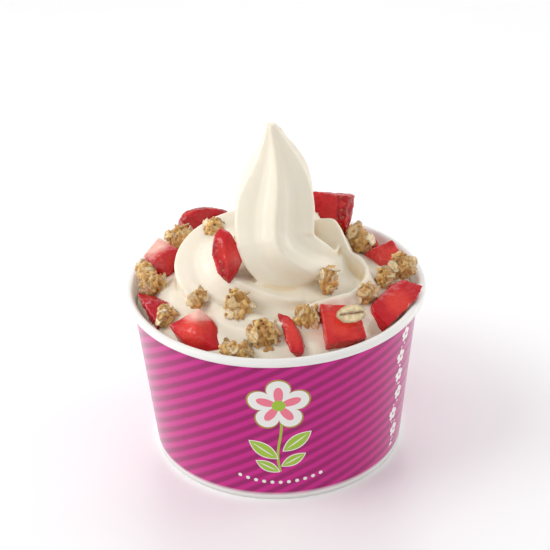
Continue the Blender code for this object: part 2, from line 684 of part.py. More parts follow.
def cut(obj, cutter):
    """Takes the cutter's space out of the object."""
    boolean = obj.modifiers.new("pocket", "BOOLEAN")
    boolean.operation = "DIFFERENCE"
    boolean.solver = "MANIFOLD"
    boolean.object = cutter
    apply_modifiers(obj)


def keep_largest(obj):
    """Drops loose scraps, so that one body is left."""
    bm = bmesh.new()
    bm.from_mesh(obj.data)
    left = set(bm.verts)
    islands = []
    while left:
        stack = [left.pop()]
        island = list(stack)
        while stack:
            for edge in stack.pop().link_edges:
                for vert in edge.verts:
                    if vert in left:
                        left.remove(vert)
                        stack.append(vert)
                        island.append(vert)
        islands.append(island)
    islands.sort(key=len, reverse=True)
    scraps = [vert for island in islands[1:] for vert in island]
    bmesh.ops.delete(bm, geom=scraps, context="VERTS")
    bm.to_mesh(obj.data)
    bm.free()


def boxes_meet(first, second):
    """Whether the boxes of two objects meet, with the gap between them."""
    corners = [[obj.matrix_world @ Vector(corner) for corner in obj.bound_box] for obj in (first, second)]
    for axis in range(3):
        lows = [min(corner[axis] for corner in box) for box in corners]
        highs = [max(corner[axis] for corner in box) for box in corners]
        if lows[0] > highs[1] + 2 * GAP or lows[1] > highs[0] + 2 * GAP:
            return False
    return True


def make_room(toppings, helpers):
    """Trims each topping where an earlier one presses on it."""
    bpy.context.view_layer.update()
    for index, first in enumerate(toppings):
        cutter = grown_hull(first, GAP, helpers)
        for second in toppings[index + 1:]:
            if boxes_meet(first, second):
                cut(second, cutter)
                keep_largest(second)
        bpy.data.objects.remove(cutter)


def press_in(yogurt, toppings, helpers):
    """Leaves a pocket in the yogurt for each topping."""
    bpy.context.view_layer.update()
    for topping in toppings:
        cutter = grown_hull(topping, GAP, helpers)
        cut(yogurt, cutter)
        bpy.data.objects.remove(cutter)
    keep_largest(yogurt)


def main():
    """Builds the cup, the yogurt and its toppings."""
    for old in list(bpy.data.objects):
        bpy.data.objects.remove(old)
    collection = new_collection("frozen_yogurt_cup")
    helpers = new_collection("helpers")

    paper = new_material("printed_paper", (0.45, 0.03, 0.18), 0.35)
    board = new_material("white_board", (0.85, 0.84, 0.82), 0.6)
    cream = new_material("frozen_yogurt", (0.86, 0.80, 0.68), 0.4)
    berry = new_material("strawberry", (0.55, 0.02, 0.02), 0.3)
    oats = new_material("granola", (0.48, 0.28, 0.11), 0.6)

    turned("cup_wall", cup_wall_profile(), True, CUP_STEPS, collection, paper)
    turned("cup_base", cup_base_profile(), False, CUP_STEPS, collection, board)
    yogurt = make_yogurt(collection, helpers, cream)
    toppings = [make_wedge(row, collection, berry) for row in STRAWBERRY_WEDGES]
    toppings += [make_strawberry(row, collection, berry) for row in STRAWBERRIES]
    toppings += [make_granola(row, collection, oats) for row in GRANOLA]
    make_room(toppings, helpers)
    press_in(yogurt, toppings, helpers)


main()
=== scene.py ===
"""The looks of a paper cup of piped frozen yogurt with cut strawberries and granola.

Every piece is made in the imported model's own frame: metres, +Z up, the table at height 0 and the
middle of the cup's foot at the origin. The front is -Y.
"""

import logging
import math
from dataclasses import dataclass, field
from enum import Enum
from typing import Iterable, Sequence, Union

import bmesh
import bpy
import numpy as np
from mathutils import Euler, Matrix, Vector, noise
from mathutils.kdtree import KDTree


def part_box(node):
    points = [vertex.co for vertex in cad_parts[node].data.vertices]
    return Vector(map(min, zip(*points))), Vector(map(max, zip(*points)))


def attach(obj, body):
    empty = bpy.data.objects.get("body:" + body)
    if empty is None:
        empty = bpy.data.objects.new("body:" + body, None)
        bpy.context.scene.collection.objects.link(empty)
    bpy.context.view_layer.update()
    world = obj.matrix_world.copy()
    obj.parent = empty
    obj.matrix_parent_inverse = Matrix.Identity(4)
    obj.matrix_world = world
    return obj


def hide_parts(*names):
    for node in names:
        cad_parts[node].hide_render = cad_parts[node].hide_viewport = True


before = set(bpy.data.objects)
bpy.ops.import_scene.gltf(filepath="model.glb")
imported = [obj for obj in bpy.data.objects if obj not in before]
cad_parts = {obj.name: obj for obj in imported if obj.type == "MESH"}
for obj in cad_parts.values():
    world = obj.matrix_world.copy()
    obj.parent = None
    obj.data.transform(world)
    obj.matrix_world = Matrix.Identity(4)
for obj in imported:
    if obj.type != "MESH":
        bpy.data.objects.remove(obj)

MM = 0.001
SEED = 20
CUP_HEIGHT = 67.6 * MM
RIM_MIDDLE = (0.0, 0.0, CUP_HEIGHT)
HOLLOW_UNIT = 0.30 * MM
GOLDEN_ANGLE = math.pi * (3.0 - math.sqrt(5.0))
PRINT_RADIUS = 52.0
PRINT_SHARPNESS = 9.0

Color = tuple[float, float, float]
Point = tuple[float, float, float]
Socket = bpy.types.NodeSocket
Source = Union[Socket, float, Sequence[float]]
Station = tuple[Vector, float, float]

logging.basicConfig(level=logging.INFO, format="%(message)s")
log = logging.getLogger("frozen_yogurt_cup")


# Mesh helpers


def mesh_from_arrays(name: str, points: np.ndarray, faces: Iterable[Sequence[int]]) -> bpy.types.Mesh:
    """Makes a mesh with faces that point outward.

    Args:
        name: The mesh's name.
        points: Vertex places in metres, one row each.
        faces: Vertex numbers of each face.

    Returns:
        The new mesh.
    """
    mesh = bpy.data.meshes.new(name)
    mesh.from_pydata([tuple(point) for point in points], [], [tuple(face) for face in faces])
    mesh.validate()
    return mesh


def points_of(mesh: bpy.types.Mesh) -> np.ndarray:
    """The mesh's vertex places, one row each."""
    points = np.empty(len(mesh.vertices) * 3)
    mesh.vertices.foreach_get("co", points)
    return points.reshape(-1, 3)


def normals_of(mesh: bpy.types.Mesh) -> np.ndarray:
    """The mesh's vertex normals, one row each."""
    normals = np.empty(len(mesh.vertices) * 3)
    mesh.vertices.foreach_get("normal", normals)
    return normals.reshape(-1, 3)


def edges_of(mesh: bpy.types.Mesh) -> np.ndarray:
    """The two vertex numbers of each edge, one row each."""
    edges = np.empty(len(mesh.edges) * 2, dtype=np.int64)
    mesh.edges.foreach_get("vertices", edges)
    return edges.reshape(-1, 2)


def move_points(mesh: bpy.types.Mesh, points: np.ndarray) -> None:
    """Puts the mesh's vertices at new places."""
    mesh.vertices.foreach_set("co", points.ravel())
    mesh.update()


def store(mesh: bpy.types.Mesh, name: str, values: np.ndarray) -> None:
    """Keeps one number per vertex for the material to read."""
    layer = mesh.attributes.new(name, "FLOAT", "POINT")
    layer.data.foreach_set("value", np.asarray(values, dtype=np.float32))


def softened(points: np.ndarray, edges: np.ndarray, rounds: int) -> np.ndarray:
    """Averages each vertex with its neighbours.

    Args:
        points: One row of numbers per vertex.
        edges: The two vertex numbers of each edge.
        rounds: How many times to average.

    Returns:
        The averaged rows.
    """
    count = len(points)
    first, second = edges[:, 0], edges[:, 1]
    shared = np.maximum(np.bincount(edges.ravel(), minlength=count), 1)
    for _ in range(rounds):
        total = np.empty_like(points)
        for axis in range(points.shape[1]):
            column = points[:, axis]
            total[:, axis] = np.bincount(first, weights=column[second], minlength=count)
            total[:, axis] += np.bincount(second, weights=column[first], minlength=count)
        points = (points + total) / (1 + shared)[:, None]
    return points


def hollowness(mesh: bpy.types.Mesh, rounds: int) -> np.ndarray:
    """How far each vertex lies below the softened surface, in metres; less than 0 on crests."""
    points = points_of(mesh)
    soft = softened(points, edges_of(mesh), rounds)
    return np.einsum("ij,ij->i", soft - points, normals_of(mesh))


def unevenness(points: np.ndarray, scale: float, shift: float, octaves: int = 2) -> np.ndarray:
    """Smooth noise at each point.

    Args:
        points: Places in metres.
        scale: Size of the noise's lumps in metres.
        shift: Moves the pattern, so that pieces differ.
        octaves: How many finer layers are added.

    Returns:
        One number per point, mostly between -1 and 1.
    """
    offset = Vector((shift, shift * 0.37, -shift * 0.71))
    return np.array([
        noise.fractal(Vector(point) / scale + offset, 1.0, 2.0, octaves) for point in points
    ])


def search_tree(points: Sequence[Sequence[float]]) -> KDTree:
    """A tree that finds the nearest of the points."""
    tree = KDTree(len(points))
    for index, point in enumerate(points):
        tree.insert(point, index)
    tree.balance()
    return tree


def linked(name: str, data: bpy.types.ID) -> bpy.types.Object:
    """Adds an object to the scene."""
    obj = bpy.data.objects.new(name, data)
    bpy.context.scene.collection.objects.link(obj)
    return obj


def evaluated(obj: bpy.types.Object) -> bpy.types.Mesh:
    """The object's mesh after its modifiers and curve settings."""
    bpy.context.view_layer.update()
    depsgraph = bpy.context.evaluated_depsgraph_get()
    return bpy.data.meshes.new_from_object(obj.evaluated_get(depsgraph))


def melted(mesh: bpy.types.Mesh, voxel: float, rounds: int) -> bpy.types.Mesh:
    """Melts closed shells into one skin.

    Args:
        mesh: The shells.
        voxel: Size of the skin's faces in metres.
        rounds: Rounds of smoothing.

    Returns:
        The skin as a new mesh.
    """
    obj = linked("melting", mesh)
    remesh = obj.modifiers.new("melt", "REMESH")
    remesh.mode = "VOXEL"
    remesh.voxel_size = voxel
    remesh.adaptivity = 0.0
    smooth = obj.modifiers.new("soften", "SMOOTH")
    smooth.factor = 0.5
    smooth.iterations = rounds
    skin = evaluated(obj)
    bpy.data.objects.remove(obj)
    skin.materials.clear()
    return skin


def largest_shell(mesh: bpy.types.Mesh) -> bpy.types.Mesh:
    """Drops every loose scrap, so that one shell is left."""
    edges = edges_of(mesh)
    label = np.arange(len(mesh.vertices))
    while True:
        lowest = label.copy()
        np.minimum.at(lowest, edges[:, 0], label[edges[:, 1]])
        np.minimum.at(lowest, edges[:, 1], label[edges[:, 0]])
        lowest = lowest[lowest]
        if np.array_equal(lowest, label):
            break
        label = lowest
    names, counts = np.unique(label, return_counts=True)
    keep = names[np.argmax(counts)]
    if len(names) > 1:
        bm = bmesh.new()
        bm.from_mesh(mesh)
        scraps = [vert for vert, name in zip(bm.verts, label) if name != keep]
        bmesh.ops.delete(bm, geom=scraps, context="VERTS")
        bm.to_mesh(mesh)
        bm.free()
    return mesh


def fitted(points: np.ndarray, node: str) -> np.ndarray:
    """Moves and scales points so that they fill the box of a node of the model."""
    low, high = (np.array(corner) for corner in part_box(node))
    own_low, own_high = points.min(axis=0), points.max(axis=0)
    scale = (high - low) / (own_high - own_low)
    return low + (points - own_low) * scale


def add_piece(name: str, mesh: bpy.types.Mesh, material: bpy.types.Material,
              nodes: Sequence[str]) -> bpy.types.Object:
    """Adds a finished piece that stands for nodes of the model.

    Args:
        name: The piece's name.
        mesh: Its mesh, in the model's frame.
        material: Its finish.
        nodes: The nodes of the model that it replaces.

    Returns:
        The new object.
    """
    mesh.materials.clear()
    mesh.materials.append(material)
    mesh.shade_smooth()
    obj = linked(name, mesh)
    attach(obj, "root")
    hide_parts(*nodes)
    triangles = sum(len(polygon.vertices) - 2 for polygon in mesh.polygons)
    log.info("%s: %d triangles", name, triangles)
    return obj


# Node tree helpers


class Graph:
    """Writes a node tree: each call adds a node, feeds its inputs and gives back its output."""

    def __init__(self, tree: bpy.types.NodeTree) -> None:
        """Takes the tree to write in."""
        self.tree = tree

    def add(self, kind: str, **settings: object) -> bpy.types.Node:
        """Adds a node.

        Args:
            kind: The node's type name.
            settings: Values for its properties.

        Returns:
            The new node.
        """
        node = self.tree.nodes.new(kind)
        for name, value in settings.items():
            setattr(node, name, value)
        return node

    def feed(self, socket: Socket, source: Source) -> None:
        """Links a socket to another one, or gives it a constant."""
        if isinstance(source, bpy.types.NodeSocket):
            self.tree.links.new(source, socket)
        elif isinstance(source, (int, float)):
            socket.default_value = source
        else:
            values = tuple(source)
            size = len(socket.default_value)
            socket.default_value = values + (1.0,) * (size - len(values))

    def math(self, operation: str, *sources: Source, clamp: bool = False) -> Socket:
        """One step of arithmetic.

        Args:
            operation: The operation's name.
            sources: Its inputs.
            clamp: Whether the answer is kept between 0 and 1.

        Returns:
            The answer.
        """
        node = self.add("ShaderNodeMath", operation=operation, use_clamp=clamp)
        for socket, source in zip(node.inputs, sources):
            self.feed(socket, source)
        return node.outputs[0]

    def band(self, value: Source, low: Source, high: Source) -> Socket:
        """Rises smoothly from 0 at low to 1 at high."""
        node = self.add("ShaderNodeMapRange", interpolation_type="SMOOTHSTEP")
        for name, source in (("Value", value), ("From Min", low), ("From Max", high)):
            self.feed(node.inputs[name], source)
        return node.outputs[0]

    def blend(self, factor: Source, first: Source, second: Source) -> Socket:
        """Mixes two colours, from the first at 0 to the second at 1."""
        node = self.add("ShaderNodeMix", data_type="RGBA")
        self.feed(node.inputs[0], factor)
        self.feed(node.inputs[6], first)
        self.feed(node.inputs[7], second)
        return node.outputs[2]

    def scaled(self, color: Source, factor: Source) -> Socket:
        """Makes a colour lighter or darker by a factor."""
        node = self.add("ShaderNodeVectorMath", operation="SCALE")
        self.feed(node.inputs[0], color)
        self.feed(node.inputs["Scale"], factor)
        return node.outputs[0]

    def place(self) -> Socket:
        """The place on the object, in metres."""
        return self.add("ShaderNodeTexCoord").outputs["Object"]

    def stored(self, name: str) -> bpy.types.Node:
        """A node that reads what the mesh keeps under a name."""
        return self.add("ShaderNodeAttribute", attribute_name=name)

    def number(self, name: str) -> Socket:
        """The number that the mesh keeps at each vertex under a name."""
        return self.stored(name).outputs["Fac"]

    def length(self, across: Source, up: Source) -> Socket:
        """The distance from the middle of a place so far across and up."""
        return self.math("SQRT", self.math("ADD", self.math("MULTIPLY", across, across),
                                           self.math("MULTIPLY", up, up)))

    def inside(self, limit: Source, reach: Source) -> Socket:
        """1 where reach is within the limit and 0 beyond it, over a tenth of a printed millimetre."""
        return self.math("MULTIPLY", self.math("SUBTRACT", limit, reach), PRINT_SHARPNESS, clamp=True)

    def noise(self, vector: Source, scale: Source, detail: float) -> Socket:
        """Noise between 0 and 1, with a scale in lumps per metre."""
        node = self.add("ShaderNodeTexNoise")
        self.feed(node.inputs["Vector"], vector)
        self.feed(node.inputs["Scale"], scale)
        self.feed(node.inputs["Detail"], detail)
        return node.outputs["Fac"]

    def group(self, tree: bpy.types.NodeTree, **sources: Source) -> bpy.types.Node:
        """Places a shader group and feeds its inputs, whose names have _ for a space."""
        node = self.add("ShaderNodeGroup", node_tree=tree)
        for name, source in sources.items():
            self.feed(node.inputs[name.replace("_", " ")], source)
        return node

    def bump(self, height: Source, distance: float, strength: float = 1.0) -> Socket:
        """The surface's normal after a relief of this height, of at most distance metres."""
        node = self.add("ShaderNodeBump")
        node.inputs["Strength"].default_value = strength
        node.inputs["Distance"].default_value = distance
        self.feed(node.inputs["Height"], height)
        return node.outputs["Normal"]


class Socketed(Enum):
    """The kinds of socket that a shader group has."""

    NUMBER = "NodeSocketFloat"
    VECTOR = "NodeSocketVector"


PLACE = ("Place", Socketed.VECTOR)


def numbers(*names: str) -> tuple[tuple[str, Socketed], ...]:
    """Sockets for numbers, as GroupSpec takes them."""
    return tuple((name, Socketed.NUMBER) for name in names)


@dataclass(frozen=True)
class GroupSpec:
    """A shader group's name, inputs and outputs."""

    name: str
    inputs: tuple[tuple[str, Socketed], ...]
    outputs: tuple[tuple[str, Socketed], ...]

    def start(self) -> tuple[Graph, bpy.types.Node, bpy.types.Node]:
        """Makes the empty group.

        Returns:
            Its graph, its input node and its output node.
        """
        tree = bpy.data.node_groups.new(self.name, "ShaderNodeTree")
        for name, kind in self.inputs:
            tree.interface.new_socket(name=name, in_out="INPUT", socket_type=kind.value)
        for name, kind in self.outputs:
            tree.interface.new_socket(name=name, in_out="OUTPUT", socket_type=kind.value)
        graph = Graph(tree)
        return graph, graph.add("NodeGroupInput"), graph.add("NodeGroupOutput")


class ShaderGroups:
    """The effects that more than one material or motif uses, each built once."""

    def __init__(self) -> None:
        """Builds every group."""
        self.mottle = self.build_mottle()
        self.grain = self.build_grain()
        self.blossom = self.build_blossom()
        self.leaf = self.build_leaf()

    def build_mottle(self) -> bpy.types.NodeTree:
        """Soft patches of light and dark, as on food: a factor round 1, and a mask."""
        spec = GroupSpec("Mottle", (PLACE, *numbers("Scale", "Amount")), numbers("Factor", "Mask"))
        graph, given, result = spec.start()
        patch = graph.noise(given.outputs["Place"], given.outputs["Scale"], 3.0)
        offset = graph.math("SUBTRACT", patch, 0.5)
        change = graph.math("MULTIPLY", offset, given.outputs["Amount"])
        graph.feed(result.inputs["Factor"], graph.math("ADD", change, 1.0))
        graph.feed(result.inputs["Mask"], graph.band(patch, 0.4, 0.65))
        return graph.tree

    def build_grain(self) -> bpy.types.NodeTree:
        """Fine grain for a relief, and the roughness that goes with it."""
        spec = GroupSpec(
            "Fine Grain", (PLACE, *numbers("Scale", "Low", "High")), numbers("Height", "Roughness"))
        graph, given, result = spec.start()
        fine = graph.noise(given.outputs["Place"], given.outputs["Scale"], 4.0)
        graph.feed(result.inputs["Height"], fine)
        span = graph.math("SUBTRACT", given.outputs["High"], given.outputs["Low"])
        rise = graph.math("MULTIPLY", span, fine)
        graph.feed(result.inputs["Roughness"], graph.math("ADD", rise, given.outputs["Low"]))
        return graph.tree

    def build_blossom(self) -> bpy.types.NodeTree:
        """A printed blossom of rounded petals, in millimetres from its middle."""
        spec = GroupSpec(
            "Printed Blossom", numbers("Across", "Up", "Radius", "Petals", "Line"),
            numbers("Petal", "Inner", "Heart", "Outline"))
        graph, given, result = spec.start()
        across, up, size = (given.outputs[name] for name in ("Across", "Up", "Radius"))
        reach = graph.length(across, up)
        angle = graph.math("ARCTAN2", across, up)
        half_turns = graph.math("MULTIPLY", angle, graph.math("MULTIPLY", given.outputs["Petals"], 0.5))
        lobe = graph.math("ABSOLUTE", graph.math("COSINE", half_turns))

        def edge(base: float, rise: float, power: float) -> Socket:
            """The petals' edge at this angle, as a distance from the middle."""
            curve = graph.math("MULTIPLY", graph.math("POWER", lobe, power), rise)
            return graph.math("MULTIPLY", graph.math("ADD", curve, base), size)

        rim = edge(0.55, 0.45, 0.6)
        petal = graph.inside(rim, reach)
        wider = graph.inside(graph.math("ADD", rim, given.outputs["Line"]), reach)
        graph.feed(result.inputs["Petal"], petal)
        graph.feed(result.inputs["Inner"], graph.inside(edge(0.12, 0.62, 1.5), reach))
        graph.feed(result.inputs["Heart"], graph.inside(graph.math("MULTIPLY", size, 0.22), reach))
        graph.feed(result.inputs["Outline"], graph.math("SUBTRACT", wider, petal, clamp=True))
        return graph.tree

    def build_leaf(self) -> bpy.types.NodeTree:
        """A printed pointed leaf with a midrib, in millimetres from its middle."""
        spec = GroupSpec(
            "Printed Leaf", numbers("Across", "Up", "Turn", "Length", "Width", "Line"),
            numbers("Leaf", "Rib", "Outline"))
        graph, given, result = spec.start()
        across, up, turn = (given.outputs[name] for name in ("Across", "Up", "Turn"))
        cosine, sine = graph.math("COSINE", turn), graph.math("SINE", turn)
        along = graph.math("ADD", graph.math("MULTIPLY", across, cosine), graph.math("MULTIPLY", up, sine))
        side = graph.math(
            "SUBTRACT", graph.math("MULTIPLY", up, cosine), graph.math("MULTIPLY", across, sine))
        share = graph.math("DIVIDE", along, given.outputs["Length"])
        bow = graph.math("SUBTRACT", 1.0, graph.math("MULTIPLY", share, share))
        half = graph.math("MULTIPLY", bow, given.outputs["Width"])
        off = graph.math("ABSOLUTE", side)
        leaf = graph.inside(half, off)
        rib = graph.inside(graph.math("MULTIPLY", graph.math("SUBTRACT", bow, 0.25), 0.42), off)
        wider = graph.inside(graph.math("ADD", half, given.outputs["Line"]), off)
        graph.feed(result.inputs["Leaf"], leaf)
        graph.feed(result.inputs["Rib"], graph.math("MULTIPLY", rib, leaf))
        graph.feed(result.inputs["Outline"], graph.math("SUBTRACT", wider, leaf, clamp=True))
        return graph.tree


def new_material(name: str) -> tuple[bpy.types.Material, Graph, bpy.types.Node]:
    """Makes a material.

    Args:
        name: Its name.

    Returns:
        The material, its graph and its Principled shader.
    """
    material = bpy.data.materials.new(name)
    material.use_nodes = True
    graph = Graph(material.node_tree)
    return material, graph, material.node_tree.nodes["Principled BSDF"]


def set_values(shader: bpy.types.Node, **values: Source) -> None:
    """Sets constants on a shader's own sockets, whose names have _ for a space."""
    for name, value in values.items():
        shader.inputs[name.replace("_", " ")].default_value = value


# Finishes


@dataclass(frozen=True)
class PrintedPaper:
    """Satin coated paper with diagonal two-tone stripes and a printed spray of blossom."""

    deep: Color = (0.34, 0.006, 0.140)
    bright: Color = (0.58, 0.014, 0.245)
    paper: Color = (0.86, 0.85, 0.82)
    pink: Color = (0.86, 0.20, 0.29)
    lime: Color = (0.36, 0.55, 0.045)
    gold: Color = (0.42, 0.27, 0.035)
    stripe_pitch: float = 5.0
    stripe_rise: float = 0.16
    stripe_wave: float = 0.50
    stripe_start: float = 42.0
    spray_repeat: float = 163.36
    column_across: float = 56.0
    column_pitch: float = 8.8

    def build(self, groups: ShaderGroups) -> bpy.types.Material:
        """Makes the material."""
        material, graph, shader = new_material("printed_paper")
        wall = graph.add("ShaderNodeSeparateXYZ")
        graph.feed(wall.inputs[0], graph.stored("wall").outputs["Vector"])
        across = self.repeated(graph, wall.outputs[0], self.spray_repeat)
        up = wall.outputs[1]

        color = self.stripes(graph, wall.outputs[0], up)
        color = self.leaves(graph, groups, color, across, up)
        color = self.blossom(graph, groups, color, across, up)
        color = self.dots(graph, color, across, up)
        color = self.column(graph, groups, color, across, up)
        place = graph.place()
        tone = graph.group(groups.mottle, Place=place, Scale=60.0, Amount=0.06)
        color = graph.scaled(color, tone.outputs["Factor"])
        white = graph.scaled(self.paper, tone.outputs["Factor"])
        printed = wall.outputs[2]
        graph.feed(shader.inputs["Base Color"], graph.blend(printed, white, color))

        grain = graph.group(groups.grain, Place=place, Scale=900.0, Low=0.34, High=0.50)
        graph.feed(shader.inputs["Roughness"], grain.outputs["Roughness"])
        graph.feed(shader.inputs["Normal"], graph.bump(grain.outputs["Height"], 0.06 * MM, 0.5))
        set_values(
            shader, Specular_IOR_Level=0.10, Coat_Weight=1.0, Coat_Roughness=0.25, Coat_IOR=1.25,
            Sheen_Weight=0.28, Sheen_Roughness=0.34)
        return material

    def repeated(self, graph: Graph, value: Source, span: float) -> Socket:
        """Repeats a distance every span, from minus half the span to half the span."""
        moved = graph.math("DIVIDE", graph.math("ADD", value, span / 2), span)
        return graph.math("MULTIPLY", graph.math("SUBTRACT", graph.math("FRACT", moved), 0.5), span)

    def stripes(self, graph: Graph, across: Socket, up: Socket) -> Socket:
        """The two-tone ground, whose stripes rise to the right and level out at the side."""
        turn = graph.math("DIVIDE", across, PRINT_RADIUS)
        moved = graph.math("ADD", turn, math.radians(self.stripe_start))
        bend = graph.math("MULTIPLY", graph.math("SINE", moved), self.stripe_wave)
        rise = graph.math("ADD", graph.math("MULTIPLY", turn, self.stripe_rise), bend)
        level = graph.math("SUBTRACT", up, graph.math("MULTIPLY", rise, PRINT_RADIUS))
        wave = graph.math("SINE", graph.math("MULTIPLY", level, math.tau / self.stripe_pitch))
        return graph.blend(graph.band(wave, -0.8, 0.8), self.deep, self.bright)

    def leaves(self, graph: Graph, groups: ShaderGroups, color: Socket, across: Socket,
               up: Socket) -> Socket:
        """The stem and its four leaves."""
        sway = graph.math("MULTIPLY", graph.math("SINE", graph.math("MULTIPLY", up, 0.22)), 0.8)
        off = graph.math("ABSOLUTE", graph.math("SUBTRACT", across, sway))
        stem = graph.inside(0.55, off)
        stem = graph.math("MULTIPLY", stem, graph.band(up, 13.6, 14.2))
        stem = graph.math("MULTIPLY", stem, graph.band(up, 38.0, 37.0))
        color = graph.blend(stem, color, self.lime)
        for middle, height, turn, length, width in (
            (6.6, 28.0, 38.0, 6.6, 2.7), (-6.2, 24.4, 142.0, 6.6, 2.7),
            (5.2, 19.2, 30.0, 5.2, 2.1), (-4.8, 16.4, 150.0, 5.0, 2.0),
        ):
            leaf = graph.group(
                groups.leaf, Across=graph.math("SUBTRACT", across, middle),
                Up=graph.math("SUBTRACT", up, height), Turn=math.radians(turn), Length=length,
                Width=width, Line=0.45)
            color = graph.blend(leaf.outputs["Outline"], color, self.paper)
            color = graph.blend(leaf.outputs["Leaf"], color, self.lime)
            color = graph.blend(leaf.outputs["Rib"], color, self.paper)
        return color

    def blossom(self, graph: Graph, groups: ShaderGroups, color: Socket, across: Socket,
                up: Socket) -> Socket:
        """The large blossom at the top of the stem."""
        bloom = graph.group(
            groups.blossom, Across=across, Up=graph.math("SUBTRACT", up, 45.5), Radius=11.5,
            Petals=5.0, Line=0.7)
        color = graph.blend(bloom.outputs["Outline"], color, self.gold)
        color = graph.blend(bloom.outputs["Petal"], color, self.paper)
        color = graph.blend(bloom.outputs["Inner"], color, self.pink)
        return graph.blend(bloom.outputs["Heart"], color, self.lime)

    def dots(self, graph: Graph, color: Socket, across: Socket, up: Socket) -> Socket:
        """A bow of small white dots under the spray."""
        center, radius, pitch, limit = 60.0, 51.5, 3.3, 0.36
        down = graph.math("SUBTRACT", center, up)
        reach = graph.length(across, down)
        angle = graph.math("ARCTAN2", across, down)
        local = self.repeated(graph, graph.math("MULTIPLY", angle, radius), pitch)
        off = graph.math("SUBTRACT", reach, radius)
        dot = graph.inside(0.85, graph.length(local, off))
        dot = graph.math("MULTIPLY", dot, graph.math("LESS_THAN", graph.math("ABSOLUTE", angle), limit))
        return graph.blend(dot, color, self.paper)

    def column(self, graph: Graph, groups: ShaderGroups, color: Socket, across: Socket,
               up: Socket) -> Socket:
        """A column of small white blossoms and dots at the side."""
        row = graph.math("FLOOR", graph.math("DIVIDE", up, self.column_pitch))
        local = self.repeated(graph, graph.math("SUBTRACT", up, self.column_pitch / 2), self.column_pitch)
        sway = graph.math("MULTIPLY", graph.math("SINE", graph.math("MULTIPLY", row, 2.4)), 1.5)
        beside = graph.math("SUBTRACT", graph.math("SUBTRACT", across, self.column_across), sway)
        bloom = graph.group(groups.blossom, Across=beside, Up=local, Radius=3.1, Petals=5.0, Line=0.0)
        mark = graph.math("SUBTRACT", bloom.outputs["Petal"], bloom.outputs["Heart"], clamp=True)
        other = self.repeated(graph, up, self.column_pitch)
        mark = graph.math("MAXIMUM", mark, graph.inside(0.75, graph.length(other, beside)))
        mark = graph.math("MULTIPLY", mark, graph.math("GREATER_THAN", up, 6.0))
        mark = graph.math("MULTIPLY", mark, graph.math("LESS_THAN", up, 61.0))
        return graph.blend(mark, color, self.paper)


@dataclass(frozen=True)
class WhiteBoard:
    """Uncoated white board with a soft fibre."""

    color: Color = (0.82, 0.81, 0.77)

    def build(self, groups: ShaderGroups) -> bpy.types.Material:
        """Makes the material."""
        material, graph, shader = new_material("white_board")
        place = graph.place()
        tone = graph.group(groups.mottle, Place=place, Scale=220.0, Amount=0.10)
        graph.feed(shader.inputs["Base Color"], graph.scaled(self.color, tone.outputs["Factor"]))
        grain = graph.group(groups.grain, Place=place, Scale=1400.0, Low=0.6, High=0.8)
        graph.feed(shader.inputs["Roughness"], grain.outputs["Roughness"])
        graph.feed(shader.inputs["Normal"], graph.bump(grain.outputs["Height"], 0.08 * MM, 0.6))
        return material


@dataclass(frozen=True)
class FrozenYogurt:
    """Dense cream, glossy where it starts to melt, with painted warm shade in its creases."""

    cream: Color = (0.87, 0.805, 0.67)
    # The crease colour is painted shade for the swirl's hollows.
    crease: Color = (0.82, 0.62, 0.34)

    def build(self, groups: ShaderGroups) -> bpy.types.Material:
        """Makes the material."""
        material, graph, shader = new_material("frozen_yogurt")
        place = graph.place()
        tone = graph.group(groups.mottle, Place=place, Scale=45.0, Amount=0.05)
        # Painted shade: the deeper a hollow of the swirl, the more it takes the warm crease colour.
        hollow = graph.band(graph.number("hollow"), 0.9, 3.2)
        depth = graph.math("MULTIPLY", hollow, 0.6)
        color = graph.blend(depth, graph.scaled(self.cream, tone.outputs["Factor"]), self.crease)
        graph.feed(shader.inputs["Base Color"], color)
        grain = graph.group(groups.grain, Place=place, Scale=420.0, Low=0.30, High=0.46)
        graph.feed(shader.inputs["Roughness"], grain.outputs["Roughness"])
        graph.feed(shader.inputs["Normal"], graph.bump(grain.outputs["Height"], 0.10 * MM, 0.35))
        set_values(
            shader, Subsurface_Weight=0.35, Subsurface_Radius=(1.0, 0.75, 0.5),
            Subsurface_Scale=1.6 * MM, Specular_IOR_Level=0.4)
        return material


